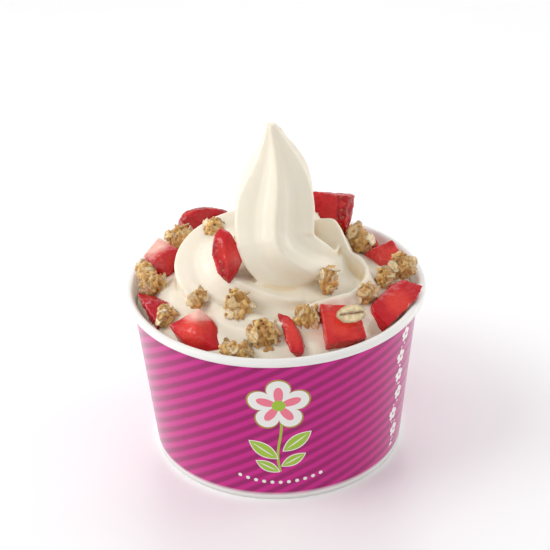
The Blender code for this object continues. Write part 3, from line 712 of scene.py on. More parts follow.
@dataclass(frozen=True)
class StrawberryFlesh:
    """Wet strawberry: seeded red skin, flesh that pales towards the middle, and a deep red for darker
    pieces and for painted shade towards each piece's foot.
    """

    skin: Color = (0.36, 0.003, 0.012)
    skin_light: Color = (0.58, 0.008, 0.014)
    rim: Color = (0.54, 0.006, 0.012)
    flesh: Color = (0.80, 0.058, 0.038)
    # Deep red, for darker pieces and for painted shade near each piece's foot.
    ripe_and_shade: Color = (0.46, 0.004, 0.016)
    pale_patch: Color = (0.90, 0.50, 0.42)
    seed: Color = (0.50, 0.17, 0.035)

    def build(self, groups: ShaderGroups) -> bpy.types.Material:
        """Makes the material."""
        material, graph, shader = new_material("strawberry")
        place = graph.place()
        tone = graph.group(groups.mottle, Place=place, Scale=170.0, Amount=0.35)
        depth, streak = graph.number("depth"), graph.number("streak")
        reach = graph.math("ADD", depth, graph.math("MULTIPLY", streak, 0.20))
        flesh = graph.blend(graph.band(reach, 0.30, 0.98), self.flesh, self.rim)
        # Deep red for each piece's own darker flesh, and painted shade towards its foot.
        flesh = graph.blend(graph.number("ripe_and_shade"), flesh, self.ripe_and_shade)
        # A pale patch round a given spot on each piece, strongest at that spot.
        pale = graph.math("ADD", graph.number("pale"), graph.math("MULTIPLY", streak, 0.28))
        flesh = graph.blend(graph.band(pale, 0.22, 0.95), flesh, self.pale_patch)
        skin = graph.blend(tone.outputs["Mask"], self.skin, self.skin_light)
        color = graph.blend(graph.number("skin"), flesh, skin)
        color = graph.scaled(color, tone.outputs["Factor"])
        color = graph.blend(graph.math("MULTIPLY", graph.number("seed"), 0.75), color, self.seed)
        graph.feed(shader.inputs["Base Color"], color)
        grain = graph.group(groups.grain, Place=place, Scale=650.0, Low=0.16, High=0.36)
        graph.feed(shader.inputs["Roughness"], grain.outputs["Roughness"])
        graph.feed(shader.inputs["Normal"], graph.bump(grain.outputs["Height"], 0.18 * MM, 0.5))
        set_values(
            shader, Subsurface_Weight=0.15, Subsurface_Radius=(1.0, 0.25, 0.18),
            Subsurface_Scale=1.0 * MM, Specular_IOR_Level=0.35, Coat_Weight=0.22, Coat_Roughness=0.10)
        return material


@dataclass(frozen=True)
class BakedOats:
    """Honey-baked granola: golden crisps and pale rolled oats, with painted shade in the hollows between
    them and along the oats' creases, and toasted oat edges.
    """

    crisp: Color = (0.44, 0.19, 0.034)
    crisp_pale: Color = (0.78, 0.50, 0.165)
    flake: Color = (0.86, 0.73, 0.47)
    flake_toasted: Color = (0.62, 0.39, 0.13)
    # A dark brown for painted shade in the hollows and creases, and for the toast on the oats' edges.
    shade_and_toast: Color = (0.15, 0.045, 0.007)

    def build(self, groups: ShaderGroups) -> bpy.types.Material:
        """Makes the material."""
        material, graph, shader = new_material("granola")
        place = graph.place()
        tone = graph.number("tone")
        mottle = graph.group(groups.mottle, Place=place, Scale=700.0, Amount=0.9)
        crisp = graph.blend(tone, self.crisp, self.crisp_pale)
        flake = graph.blend(tone, self.flake_toasted, self.flake)
        color = graph.blend(graph.number("flake"), crisp, flake)
        color = graph.scaled(color, mottle.outputs["Factor"])
        # Painted shade: the hollows between the morsels and the oats' creases darken to the dark brown,
        # which also gives the oats' edges their toast.
        hollow = graph.band(graph.number("hollow"), 0.25, 1.30)
        dark = graph.math("MAXIMUM", graph.math("MULTIPLY", hollow, 0.9), graph.number("crease"))
        graph.feed(shader.inputs["Base Color"], graph.blend(dark, color, self.shade_and_toast))
        grain = graph.group(groups.grain, Place=place, Scale=1500.0, Low=0.30, High=0.62)
        graph.feed(shader.inputs["Roughness"], grain.outputs["Roughness"])
        graph.feed(shader.inputs["Normal"], graph.bump(grain.outputs["Height"], 0.22 * MM, 0.7))
        set_values(
            shader, Subsurface_Weight=0.10, Subsurface_Radius=(1.0, 0.5, 0.2),
            Subsurface_Scale=0.6 * MM, Coat_Weight=0.55, Coat_Roughness=0.14)
        return material


@dataclass(frozen=True)
class TableTop:
    """A pale satin table."""

    color: Color = (0.94, 0.94, 0.94)

    def build(self, groups: ShaderGroups) -> bpy.types.Material:
        """Makes the material."""
        material, graph, shader = new_material("table")
        place = graph.place()
        tone = graph.group(groups.mottle, Place=place, Scale=3.0, Amount=0.02)
        graph.feed(shader.inputs["Base Color"], graph.scaled(self.color, tone.outputs["Factor"]))
        grain = graph.group(groups.grain, Place=place, Scale=40.0, Low=0.30, High=0.36)
        graph.feed(shader.inputs["Roughness"], grain.outputs["Roughness"])
        return material


# Sub-assemblies


@dataclass
class PaperCup:
    """The tapered wall with its rolled rim, side seam and folded foot, over its raised base."""

    height: float = CUP_HEIGHT
    rim_radius: float = 57.4 * MM
    foot_radius: float = 48.0 * MM
    paper: float = 0.8 * MM
    roll_radius: float = 1.7 * MM
    roll_steps: int = 20
    roll_waver: float = 0.10 * MM
    roll_sag: float = 0.12 * MM
    gap: float = 0.3 * MM
    hem_height: float = 7.0 * MM
    wall_rows: int = 36
    steps: int = 288
    seam_turn: float = 118.0
    seam_width: float = 9.0
    seam_step: float = 0.28 * MM
    print_bottom: float = 1.9 * MM

    def slope(self) -> float:
        """Outward travel of the wall for each metre of height."""
        top = self.rim_radius - 2 * self.roll_radius + self.paper
        return (top - self.foot_radius) / (self.height - self.roll_radius)

    def outer(self, height: float) -> float:
        """The wall's outer radius at a height."""
        return self.foot_radius + self.slope() * height

    def profile(self) -> tuple[list[tuple[float, float]], list[bool]]:
        """The wall's closed outline.

        Returns:
            Its points as (radius, height), and for each point whether it is on the printed side.
        """
        points: list[tuple[float, float]] = []
        printed: list[bool] = []
        middle = self.rim_radius - self.roll_radius
        top = self.height - self.roll_radius
        for step in range(self.roll_steps + 1):
            angle = math.radians(180.0 - 300.0 * step / self.roll_steps)
            points.append((middle + self.roll_radius * math.cos(angle),
                           top + self.roll_radius * math.sin(angle)))
            printed.append(False)
        wall_top = self.height - 2 * self.roll_radius
        for row in range(self.wall_rows + 1):
            height = wall_top * (1.0 - row / self.wall_rows)
            points.append((self.outer(height), height))
            printed.append(True)
        hem = self.outer(0.0) - 2 * self.paper - 2 * self.gap
        rise = self.slope() * self.hem_height
        inner = [
            (hem - self.paper, 0.0), (hem - self.paper + rise, self.hem_height),
            (hem + rise, self.hem_height), (hem, self.paper),
            (self.outer(self.paper) - self.paper, self.paper),
        ]
        for row in range(1, self.wall_rows // 2):
            height = self.paper + (top - self.paper) * row / (self.wall_rows // 2)
            inner.append((self.outer(height) - self.paper, height))
        points += inner
        printed += [False] * len(inner)
        return points, printed

    def build(self) -> bpy.types.Mesh:
        """Makes the wall's mesh, with the place of the print stored on it."""
        outline, printed = self.profile()
        count = len(outline)
        start = math.radians(self.seam_turn) - math.tau
        points, faces = [], []
        for column in range(self.steps):
            turn = start + math.tau * column / self.steps
            for (radius, height), outside in zip(outline, printed):
                points.append(self.wall_point(radius, height, turn, start, outside))
        for column in range(self.steps):
            following = (column + 1) % self.steps
            for row in range(count):
                below = (row + 1) % count
                faces.append((column * count + row, column * count + below,
                              following * count + below, following * count + row))
        mesh = mesh_from_arrays("cup_wall_dressed", np.array(points), faces)
        self.store_print(mesh, outline, printed, start)
        return mesh

    def wall_point(self, radius: float, height: float, turn: float, start: float,
                   outside: bool) -> Point:
        """One point of the wall, with the small unevenness of rolled and glued paper.

        Args:
            radius: Distance from the cup's axis.
            height: Height over the table.
            turn: Angle from the front, in radians.
            start: Angle of the seam, in radians.
            outside: Whether the point is on the printed side.

        Returns:
            The point's place.
        """
        past = math.degrees(turn - start)
        lap = max(0.0, 1.0 - past / self.seam_width)
        if outside and lap > 0.0:
            radius += self.seam_step * min(1.0, lap * 4.0)
        rolled = height > self.height - 2 * self.roll_radius
        if rolled:
            radius -= self.roll_waver * (1.0 + math.sin(3 * turn) * 0.5 + math.sin(7 * turn + 1.0) * 0.3)
            height -= self.roll_sag * (1.0 - math.exp(-((past - 4.5) / 3.0) ** 2))
        return (radius * math.sin(turn), -radius * math.cos(turn), height)

    def store_print(self, mesh: bpy.types.Mesh, outline: list[tuple[float, float]],
                    printed: list[bool], start: float) -> None:
        """Keeps each face corner's way round the wall and height in mm, and whether it is printed.

        Args:
            mesh: The wall.
            outline: The wall's outline.
            printed: For each point of the outline, whether it is on the printed side.
            start: Angle of the seam, in radians.
        """
        count = len(outline)
        heights = np.array([height for _, height in outline])
        outside = np.array(printed)
        wall = mesh.attributes.new("wall", "FLOAT_VECTOR", "CORNER")
        corner_vertex = np.empty(len(mesh.loops), dtype=np.int64)
        mesh.loops.foreach_get("vertex_index", corner_vertex)
        corner_face = np.repeat(np.arange(len(mesh.polygons)), 4)
        face_column, face_row = corner_face // count, corner_face % count
        column = corner_vertex // count
        column = np.where((column == 0) & (face_column == self.steps - 1), self.steps, column)
        turn = start + math.tau * column / self.steps
        height = heights[corner_vertex % count]
        on_print = outside[face_row] & outside[(face_row + 1) % count]
        on_print &= height >= 0.0
        mask = np.where(on_print, np.clip((height - self.print_bottom) / (0.1 * MM), 0.0, 1.0), 0.0)
        wall_values = np.stack([turn * PRINT_RADIUS, height / MM, mask], axis=1)
        wall.data.foreach_set("vector", wall_values.astype(np.float32).ravel())

    def dress(self, groups: ShaderGroups) -> None:
        """Adds the wall, and gives the model's base its finish."""
        add_piece("cup_wall_dressed", self.build(), PrintedPaper().build(groups),
                  ["cup_wall"])
        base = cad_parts["cup_base"]
        board = WhiteBoard().build(groups)
        for slot in base.material_slots:
            slot.material = board
        log.info("cup_base: finished in white board")


def eased(share: float) -> float:
    """A share from 0 to 1 that starts and ends gently."""
    share = min(max(share, 0.0), 1.0)
    return share * share * (3.0 - 2.0 * share)


@dataclass
class YogurtSwirl:
    """Frozen yogurt that fills the cup and is piped on top as one fluted rope."""

    tip_height: float = 66.0 * MM
    tip_radius: float = 2.2 * MM
    peak_radius: float = 15.6 * MM
    peak_taper: float = 1.2
    peak_foot: float = 22.5 * MM
    peak_lean: float = 1.6 * MM
    peak_belly: float = 2.0 * MM
    peak_sway: float = 0.6 * MM
    lean_power: float = 1.2
    peak_steps: int = 64
    coil_start: float = -90.0
    coil_end: float = 450.0
    coil_step: float = 4.0
    inner_reach: float = 7.5 * MM
    outer_reach: float = 22.0 * MM
    opening: float = 120.0
    coil_bulge: float = 3.5 * MM
    coil_top: float = 13.0 * MM
    coil_drop: float = 16.5 * MM
    coil_drift: float = 5.0 * MM
    settle: float = 25.0
    rope_radius: float = 14.5 * MM
    rope_bulge: float = 2.0 * MM
    rope_pinch: float = 4.5 * MM
    flutes: int = 6
    flute_depth: float = 0.22
    flute_crest: float = 0.06
    flute_sharpness: float = 1.2
    fine_flutes: float = 0.005
    flute_twist: float = 0.43
    flute_points: int = 180
    lips: tuple[tuple[str, tuple[Point, ...], float], ...] = (
        ("ear", (
            (8.0, 5.0, 22.0), (14.4, 5.0, 23.0), (16.8, 5.5, 23.5), (22.8, 4.6, 23.8),
            (24.7, 3.5, 20.9), (26.5, 2.0, 16.6), (28.6, 1.0, 12.0)), 0.35),
        ("bowl", (
            (27.0, 2.0, 9.0), (27.9, 0.5, 11.9), (31.8, -2.0, 11.2), (34.6, -6.0, 9.0),
            (34.8, -12.0, 7.8), (31.6, -17.0, 6.6), (27.0, -22.0, 6.8), (21.1, -26.0, 7.3),
            (15.4, -28.0, 7.2), (10.0, -29.0, 5.0)), 0.5))
    lip_steps: int = 64
    lip_drops: tuple[float, ...] = (0.6, 2.0, 4.0, 6.0, 8.0, 11.0, 14.0)
    lip_half_edge: float = 0.9
    lip_hollow: float = 0.030
    fold_steps: int = 12
    fold_radius: float = 1.2 * MM
    low_start: float = 150.0
    low_end: float = 345.0
    low_reach: float = 31.0 * MM
    low_spread: float = 5.0 * MM
    low_radius: float = 11.5 * MM
    low_depth: float = 5.0 * MM
    low_sink: float = 2.5 * MM
    low_twist: float = 80.0
    low_steps: int = 48
    strokes: tuple[tuple[Point, float, Point], ...] = (
        ((18.0, -2.0, 22.0), 7.0, (0.0, -0.5, -9.0)),)
    fill_gap: float = 0.15 * MM
    fill_edge: float = 7.0 * MM
    fill_crown: float = 9.0 * MM
    fill_rings: tuple[tuple[float, float], ...] = ((0.6, 3.0 * MM), (0.8, -0.6 * MM))
    fill_bottom: float = 8.8 * MM + 0.9 * MM
    fill_steps: int = 144
    fill_rows: int = 10
    voxel: float = 0.62 * MM
    smoothing: int = 5
    hidden_depth: float = 11.0 * MM
    hidden_saving: float = 0.97
    wave_size: float = 9 * MM
    wave: float = 0.12
    low_wave: float = 1.7
    ripple_size: float = 4 * MM
    ripple: float = 0.07

    def peak_station(self, share: float) -> Station:
        """The rope's centre, radius and twist in the peak, from the tip at 0 to the coil at 1."""
        height = self.tip_height + (self.peak_foot - self.tip_height) * share
        bend = share ** self.lean_power
        x = self.peak_lean * math.sin(math.pi * bend) + self.peak_sway * math.sin(math.tau * bend)
        y = -self.inner_reach * share ** 4
        swell = math.sin(math.pi / 2 * share) ** self.peak_taper
        radius = self.tip_radius * (1.0 - share) + self.peak_radius * swell
        radius += self.peak_belly * math.sin(math.pi * share) ** 2
        return Vector((x, y, CUP_HEIGHT + height)), radius, 0.0

    def coil_station(self, turn: float) -> Station:
        """The rope's centre, radius and twist in the coil, whose turns grow and sink."""
        past = turn - self.coil_start
        around = math.exp(-((turn - 180.0) / 60.0) ** 2)
        reach = self.outer_reach + (self.inner_reach - self.outer_reach) * math.exp(-past / self.opening)
        reach += self.coil_bulge * around
        settling = (self.peak_foot - self.coil_top) * math.exp(-past / self.settle)
        height = self.coil_top + settling - self.coil_drop * eased((turn + 60.0) / 360.0)
        pinch = self.rope_pinch * math.exp(-((turn - 12.0) / 45.0) ** 2)
        swell = (self.peak_radius - self.rope_radius) * math.exp(-past / self.settle)
        angle = math.radians(turn)
        drift = self.coil_drift * eased((turn - 150.0) / 120.0)
        center = Vector((reach * math.cos(angle), reach * math.sin(angle) + drift, CUP_HEIGHT + height))
        twist = self.flute_twist * max(0.0, turn + 60.0)
        return center, self.rope_radius + swell + self.rope_bulge * around - pinch, twist

    def low_coil(self) -> list[Station]:
        """The first turn of the rope, which lies low between the toppings from the left to the front."""
        stations = []
        for step in range(self.low_steps + 1):
            share = step / self.low_steps
            angle = math.radians(self.low_start + (self.low_end - self.low_start) * share)
            reach = self.low_reach + self.low_spread * share
            height = -self.low_depth - self.low_sink * share
            radius = self.low_radius * (0.75 + 0.25 * math.sin(math.pi * share))
            center = Vector((reach * math.cos(angle), reach * math.sin(angle), CUP_HEIGHT + height))
            stations.append((center, radius, self.low_twist * share))
        return stations

    def stations(self) -> list[Station]:
        """The rope's stations from the tip down to its buried end."""
        peak = [self.peak_station(step / self.peak_steps) for step in range(self.peak_steps)]
        steps = round((self.coil_end - self.coil_start) / self.coil_step)
        return peak + [self.coil_station(self.coil_start + step * self.coil_step)
                       for step in range(steps + 1)]

    def nozzle_star(self) -> bpy.types.Object:
        """The nozzle's star as a closed curve, with fine lines between the main flutes."""
        curve = bpy.data.curves.new("nozzle_star", "CURVE")
        curve.dimensions = "2D"
        spline = curve.splines.new("POLY")
        spline.points.add(self.flute_points - 1)
        for index, point in enumerate(spline.points):
            angle = math.tau * index / self.flute_points
            valley = abs(math.sin(self.flutes * angle / 2)) ** self.flute_sharpness
            fine = math.cos(self.flutes * 4 * angle + math.sin(3 * angle))
            radius = 1.0 + self.flute_crest - self.flute_depth * valley + self.fine_flutes * fine
            point.co = (radius * math.cos(angle), radius * math.sin(angle), 0.0, 1.0)
        spline.use_cyclic_u = True
        return linked("nozzle_star", curve)

    def rope(self, name: str, stations: list[Station],
             star: bpy.types.Object | None) -> bpy.types.Object:
        """Sweeps the star, or a plain round section, along the stations.

        Args:
            name: The curve's name.
            stations: Centres, radii and twists.
            star: The section, or None for a round one.

        Returns:
            The curve object.
        """
        curve = bpy.data.curves.new(name, "CURVE")
        curve.dimensions = "3D"
        curve.twist_mode = "MINIMUM"
        spline = curve.splines.new("POLY")
        spline.points.add(len(stations) - 1)
        for point, (center, radius, twist) in zip(spline.points, stations):
            point.co = (*center, 1.0)
            point.radius = radius
            point.tilt = math.radians(twist)
        if star is None:
            curve.bevel_depth = 1.0
            curve.bevel_resolution = 4
        else:
            curve.bevel_mode = "OBJECT"
            curve.bevel_object = star
        curve.use_fill_caps = True
        return linked(name, curve)

    def tip_fold(self) -> list[Station]:
        """A thin fold that runs from the tip down the right of the peak."""
        stations = []
        for step in range(self.fold_steps + 1):
            share = step / self.fold_steps
            center, radius, twist = self.peak_station(0.06 + 0.24 * share)
            offset = Vector((radius * 0.85, radius * 0.2, 0.0))
            stations.append((center + offset, self.fold_radius * (1.0 - 0.5 * share), twist))
        return stations

    def lip(self, name: str, ridge: tuple[Point, ...], slope: float) -> bpy.types.Object:
        """One raised lip on the right, where the rope folds out of the peak.

        Args:
            name: The lip's name.
            ridge: Points of its upper edge in mm over the rim.
            slope: How fast its outer side spreads below the edge. Its inner side is hollow.

        Returns:
            The lip's closed shell.
        """
        knots = np.array(ridge)
        share = np.linspace(0.0, len(knots) - 1.0, self.lip_steps)
        path = np.stack(
            [np.interp(share, np.arange(len(knots)), knots[:, axis]) for axis in range(3)], axis=1)
        for _ in range(3):
            path[1:-1] = (path[:-2] + path[1:-1] + path[2:]) / 3
        section = [(0.0, 0.0)]
        section += [(drop, self.lip_half_edge + self.lip_hollow * drop ** 2) for drop in self.lip_drops]
        section += [(drop, -self.lip_half_edge - slope * drop) for drop in reversed(self.lip_drops)]
        points, faces, count = [], [], len(section)
        for index, (x, y, z) in enumerate(path):
            along = path[min(index + 1, len(path) - 1)] - path[max(index - 1, 0)]
            front = Vector((along[1], -along[0], 0.0)).normalized()
            for drop, forward in section:
                points.append(((x + front.x * forward) * MM, (y + front.y * forward) * MM,
                               CUP_HEIGHT + (z - drop) * MM))
            if index:
                here, there = index * count, (index - 1) * count
                faces += [(here + row, here + (row + 1) % count, there + (row + 1) % count, there + row)
                          for row in range(count)]
        faces += [tuple(range(count)), tuple(range(len(points) - count, len(points)))]
        return linked(name, mesh_from_arrays(name, np.array(points), faces))

    def stroked(self, points: np.ndarray) -> np.ndarray:
        """Pushes points as a spatula would: each stroke moves what lies near its middle."""
        for middle, reach, move in self.strokes:
            away = np.linalg.norm(points - np.array(middle) * MM - RIM_MIDDLE, axis=1) / MM
            points = points + np.exp(-(away / reach) ** 2)[:, None] * np.array(move) * MM
        return points

    def fill(self, cup: PaperCup) -> bpy.types.Object:
        """The body of yogurt in the cup, up to a low uneven crown."""
        bottom, edge = self.fill_bottom, CUP_HEIGHT - self.fill_edge
        inner = cup.outer(edge) - cup.paper - self.fill_gap
        low = cup.outer(bottom) - cup.paper - self.fill_gap
        knots = [(0.0, self.fill_crown)]
        knots += [(share * cup.rim_radius, height) for share, height in self.fill_rings]
        knots.append((inner - 0.9 * MM, -self.fill_edge))
        outline = []
        for (first_r, first_z), (second_r, second_z) in zip(knots, knots[1:]):
            for step in range(self.fill_rows):
                share = step / self.fill_rows
                outline.append((first_r + (second_r - first_r) * share,
                                CUP_HEIGHT + first_z + (second_z - first_z) * share))
        outline += [
            (inner - 0.5 * MM, edge + 0.2 * MM), (inner, edge + 0.4 * MM), (low, bottom), (0.0, bottom)]
        steps, points, faces = self.fill_steps, [], []
        for column in range(steps):
            angle = math.tau * column / steps
            points += [(r * math.cos(angle), r * math.sin(angle), z) for r, z in outline]
            for row in range(len(outline) - 1):
                here = column * len(outline) + row
                there = ((column + 1) % steps) * len(outline) + row
                faces.append((here, here + 1, there + 1, there))
        mesh = mesh_from_arrays("fill", np.array(points), faces)
        bm = bmesh.new()
        bm.from_mesh(mesh)
        bmesh.ops.remove_doubles(bm, verts=bm.verts, dist=0.01 * MM)
        bmesh.ops.recalc_face_normals(bm, faces=bm.faces)
        bm.to_mesh(mesh)
        bm.free()
        return linked("fill", mesh)

    def build(self, cup: PaperCup) -> bpy.types.Mesh:
        """Melts the rope and the fill into one body and roughens it like soft ice.

        Args:
            cup: The cup that it fills.

        Returns:
            The yogurt's mesh, with its hollows stored on it.
        """
        star = self.nozzle_star()
        pieces = [
            self.rope("rope", self.stations(), star), self.rope("tip_fold", self.tip_fold(), None),
            self.rope("low_coil", self.low_coil(), star), self.fill(cup),
        ] + [self.lip(*row) for row in self.lips]
        joined = bmesh.new()
        for piece in pieces:
            bm = bmesh.new()
            bm.from_mesh(evaluated(piece))
            bmesh.ops.remove_doubles(bm, verts=bm.verts, dist=0.001 * MM)
            bmesh.ops.recalc_face_normals(bm, faces=bm.faces)
            shell = bpy.data.meshes.new(piece.name)
            bm.to_mesh(shell)
            bm.free()
            if piece.name == "rope":
                move_points(shell, self.stroked(points_of(shell)))
            joined.from_mesh(shell)
        whole = bpy.data.meshes.new("yogurt_shells")
        joined.to_mesh(whole)
        joined.free()
        for piece in pieces + [star]:
            bpy.data.objects.remove(piece)
        mesh = largest_shell(melted(whole, self.voxel, self.smoothing))
        mesh = self.thinned(mesh)
        self.roughen(mesh)
        store(mesh, "hollow", hollowness(mesh, 40) / HOLLOW_UNIT)
        self.keep_in_box(mesh)
        return mesh

    def keep_in_box(self, mesh: bpy.types.Mesh) -> None:
        """Scales the part over the rim so that its tip is as high as the model's."""
        points = points_of(mesh)
        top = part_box("yogurt")[1].z
        scale = (top - CUP_HEIGHT) / (points[:, 2].max() - CUP_HEIGHT)
        over = points[:, 2] > CUP_HEIGHT
        points[over, 2] = CUP_HEIGHT + (points[over, 2] - CUP_HEIGHT) * scale
        move_points(mesh, points)

    def thinned(self, mesh: bpy.types.Mesh) -> bpy.types.Mesh:
        """Spends few faces on the part that is hidden in the cup."""
        obj = linked("thinning", mesh)
        hidden = obj.vertex_groups.new(name="hidden")
        deep = np.nonzero(points_of(mesh)[:, 2] < CUP_HEIGHT - self.hidden_depth)[0]
        hidden.add([int(index) for index in deep], 1.0, "REPLACE")
        decimate = obj.modifiers.new("thin", "DECIMATE")
        decimate.vertex_group = "hidden"
        decimate.vertex_group_factor = 1000.0
        faces = 2 * len(mesh.polygons)
        decimate.ratio = 1.0 - self.hidden_saving * len(deep) * 2 / faces
        thin = evaluated(obj)
        bpy.data.objects.remove(obj)
        return thin

    def roughen(self, mesh: bpy.types.Mesh) -> None:
        """Gives the surface the slow waves and small sags of soft yogurt."""
        points, normals = points_of(mesh), normals_of(mesh)
        above = np.clip((points[:, 2] - CUP_HEIGHT + 8 * MM) / (4 * MM), 0.0, 1.0)
        low = np.clip((CUP_HEIGHT + 12 * MM - points[:, 2]) / (12 * MM), 0.0, 1.0)
        inside = np.clip((53.0 * MM - np.hypot(points[:, 0], points[:, 1])) / (4 * MM), 0.0, 1.0)
        fold = np.array((0.77, -0.64, 0.0))
        drawn_out = points - 0.6 * (points @ fold)[:, None] * fold
        waves = unevenness(drawn_out, self.wave_size, 4.0) * (self.wave + self.low_wave * low * inside) * MM
        small = unevenness(points, self.ripple_size, 9.0) * self.ripple * MM
        move_points(mesh, points + normals * ((waves + small) * above)[:, None])

    def dress(self, cup: PaperCup, groups: ShaderGroups) -> None:
        """Adds the yogurt with its finish."""
        add_piece("yogurt_dressed", self.build(cup), FrozenYogurt().build(groups),
                  ["yogurt"])


@dataclass
class StrawberryPiece:
    """One piece cut from a strawberry, in mm; its turn is in degrees.

    A piece is either sliced from a whole berry, turned and fitted to its node's box or, where it
    has corners, the hull of those, which are given from the middle of the rim.
    """

    node: str
    turn: Point = (0.0, 0.0, 0.0)
    length: float = 24.0
    radius: float = 10.0
    kept: tuple[tuple[float, float], ...] = ()
    corners: tuple[Point, ...] = ()
    skin_toward: Point = (0.0, 0.0, 0.0)
    pale_at: Point = (0.0, 0.0, 0.0)
    pale: float = 0.0
    pale_reach: float = 6.0
    # Share of deep red: the piece's own, plus painted shade that grows towards its foot.
    ripe_and_shade: float = 0.0
    foot_shade: float = 0.45
    shoulder: float = 0.25
    seeds: int = 170
    seed_gap: float = 2.6
    lumps: float = 0.38
    fibers: float = 1.0
    voxel: float = 0.36 * MM
    smoothing: int = 6
    corner_reach: float = 9.0
    seed_rise: float = 0.34
    pit_depth: float = 0.42
    fiber_rise: float = 0.14

    def cut(self) -> bpy.types.Mesh:
        """The berry cut to its piece, with flat cuts and sharp edges, in its own frame."""
        bm = bmesh.new()
        if self.corners:
            for corner in self.corners:
                bm.verts.new(Vector(corner) * MM)
            hull = bmesh.ops.convex_hull(bm, input=bm.verts[:])
            unused = [item for item in hull["geom_interior"] if isinstance(item, bmesh.types.BMVert)]
            bmesh.ops.delete(bm, geom=unused, context="VERTS")
        else:
            bmesh.ops.create_uvsphere(bm, u_segments=72, v_segments=48, radius=1.0)
            for axis, limits in enumerate(self.kept):
                for distance, side in zip(limits, (-1.0, 1.0)):
                    self.slice(bm, axis, distance, side)
            for vert in bm.verts:
                vert.co = self.shaped(vert.co)
        bmesh.ops.recalc_face_normals(bm, faces=bm.faces)
        mesh = bpy.data.meshes.new(self.node)
        bm.to_mesh(mesh)
        bm.free()
        return mesh

    def slice(self, bm: bmesh.types.BMesh, axis: int, distance: float, side: float) -> None:
        """Cuts the berry across an axis and closes the cut."""
        point, normal = Vector(), Vector()
        point[axis] = distance
        normal[axis] = side
        geometry = bm.verts[:] + bm.edges[:] + bm.faces[:]
        halved = bmesh.ops.bisect_plane(bm, geom=geometry, plane_co=point, plane_no=normal,
                                        clear_outer=True)
        edges = [item for item in halved["geom_cut"] if isinstance(item, bmesh.types.BMEdge)]
        if edges:
            bmesh.ops.edgeloop_fill(bm, edges=edges)

    def shaped(self, unit: Vector) -> Vector:
        """Turns a point of a unit ball into one of the berry."""
        width = self.radius * (1.0 - self.shoulder * unit.x)
        return Vector((unit.x * self.length / 2, unit.y * width, unit.z * width)) * MM

    def unshaped(self, points: np.ndarray) -> np.ndarray:
        """Turns points of the berry back into points of a unit ball."""
        if self.corners:
            middle = (points.min(axis=0) + points.max(axis=0)) / 2
            return (points - middle)[:, (2, 1, 0)] / (self.corner_reach * MM)
        along = points[:, 0] / (self.length / 2 * MM)
        width = self.radius * (1.0 - self.shoulder * along) * MM
        return np.stack([along, points[:, 1] / width, points[:, 2] / width], axis=1)

    def skin_of(self, unit: np.ndarray, normals: np.ndarray) -> np.ndarray:
        """How much each point is skin: the berry's outside, or the side that was given."""
        if not self.corners:
            return np.clip((np.linalg.norm(unit, axis=1) - 0.945) / 0.03, 0.0, 1.0)
        toward = np.array(self.skin_toward)
        return np.clip((normals @ toward - 0.62) / 0.12, 0.0, 1.0)

    def seed_places(self, points: np.ndarray) -> list[Vector]:
        """Where the seeds sit: in an even spiral on a berry, or evenly apart on a piece with corners."""
        if self.corners:
            rng = np.random.default_rng(SEED + len(self.node))
            chosen: list[np.ndarray] = []
            for point in points[rng.permutation(len(points))]:
                if all(np.linalg.norm(point - other) > self.seed_gap * MM for other in chosen):
                    chosen.append(point)
            return [Vector(point) for point in chosen]
        places = []
        for index in range(self.seeds):
            along = 1.0 - 2.0 * (index + 0.5) / self.seeds
            around = math.sqrt(1.0 - along * along)
            angle = GOLDEN_ANGLE * index
            spot = Vector((along, around * math.cos(angle), around * math.sin(angle)))
            places.append(self.shaped(spot))
        return places

    def build(self, number: int) -> bpy.types.Mesh:
        """Makes the piece with its seeds, skin and flesh.

        Args:
            number: The piece's number, so that no two have the same flesh.

        Returns:
            The mesh, in the model's frame.
        """
        mesh = largest_shell(melted(self.cut(), self.voxel, self.smoothing))
        points, normals = points_of(mesh), normals_of(mesh)
        unit = self.unshaped(points)
        depth = np.linalg.norm(unit, axis=1)
        skin = self.skin_of(unit, normals)
        seed, dimple = self.seed_relief(points)
        around = np.arctan2(unit[:, 2], unit[:, 1])
        fiber = np.stack(
            [np.cos(around) * 3.2, np.sin(around) * 3.2, unit[:, 0] * 2.2 + depth * 0.7], axis=1)
        streak = unevenness(fiber, 0.62, 3.1 * number, 3) * self.fibers
        lumps = unevenness(points, 4.5 * MM, 5.3 * number, 3)
        relief = skin * (self.seed_rise * seed - self.pit_depth * dimple)
        relief = relief + (1.0 - skin) * (self.fiber_rise * streak) + self.lumps * lumps
        points = points + normals * (relief * MM)[:, None]
        if self.corners:
            placed = points + RIM_MIDDLE
        else:
            turned = Euler([math.radians(angle) for angle in self.turn]).to_matrix()
            placed = fitted(points @ np.array(turned).T, self.node)
        move_points(mesh, placed)
        away = np.linalg.norm(placed - RIM_MIDDLE - np.array(self.pale_at) * MM, axis=1)
        store(mesh, "pale", self.pale * np.exp(-(away / (self.pale_reach * MM)) ** 2))
        # Painted shade: the deep red grows towards the piece's foot, over the piece's own share.
        top, foot = placed[:, 2].max(), placed[:, 2].min()
        store(mesh, "ripe_and_shade", self.ripe_and_shade + self.foot_shade * ((top - placed[:, 2]) / (top - foot)) ** 2)
        store(mesh, "depth", depth)
        store(mesh, "streak", streak)
        store(mesh, "skin", skin)
        store(mesh, "seed", seed * skin)
        return mesh

    def seed_relief(self, points: np.ndarray) -> tuple[np.ndarray, np.ndarray]:
        """How much each point lies on a seed, and how much in the pit round it."""
        tree = search_tree(self.seed_places(points))
        seed, dimple = np.zeros(len(points)), np.zeros(len(points))
        for index, point in enumerate(points):
            nearest, _, distance = tree.find(point)
            away = distance / MM
            along = (point[0] - nearest[0]) / MM
            aside = math.sqrt(max(away * away - along * along, 0.0))
            dimple[index] = math.exp(-(away / 0.95) ** 2)
            seed[index] = min(max(1.6 - 1.6 * ((along / 0.85) ** 2 + (aside / 0.5) ** 2), 0.0), 1.0)
        return seed, dimple

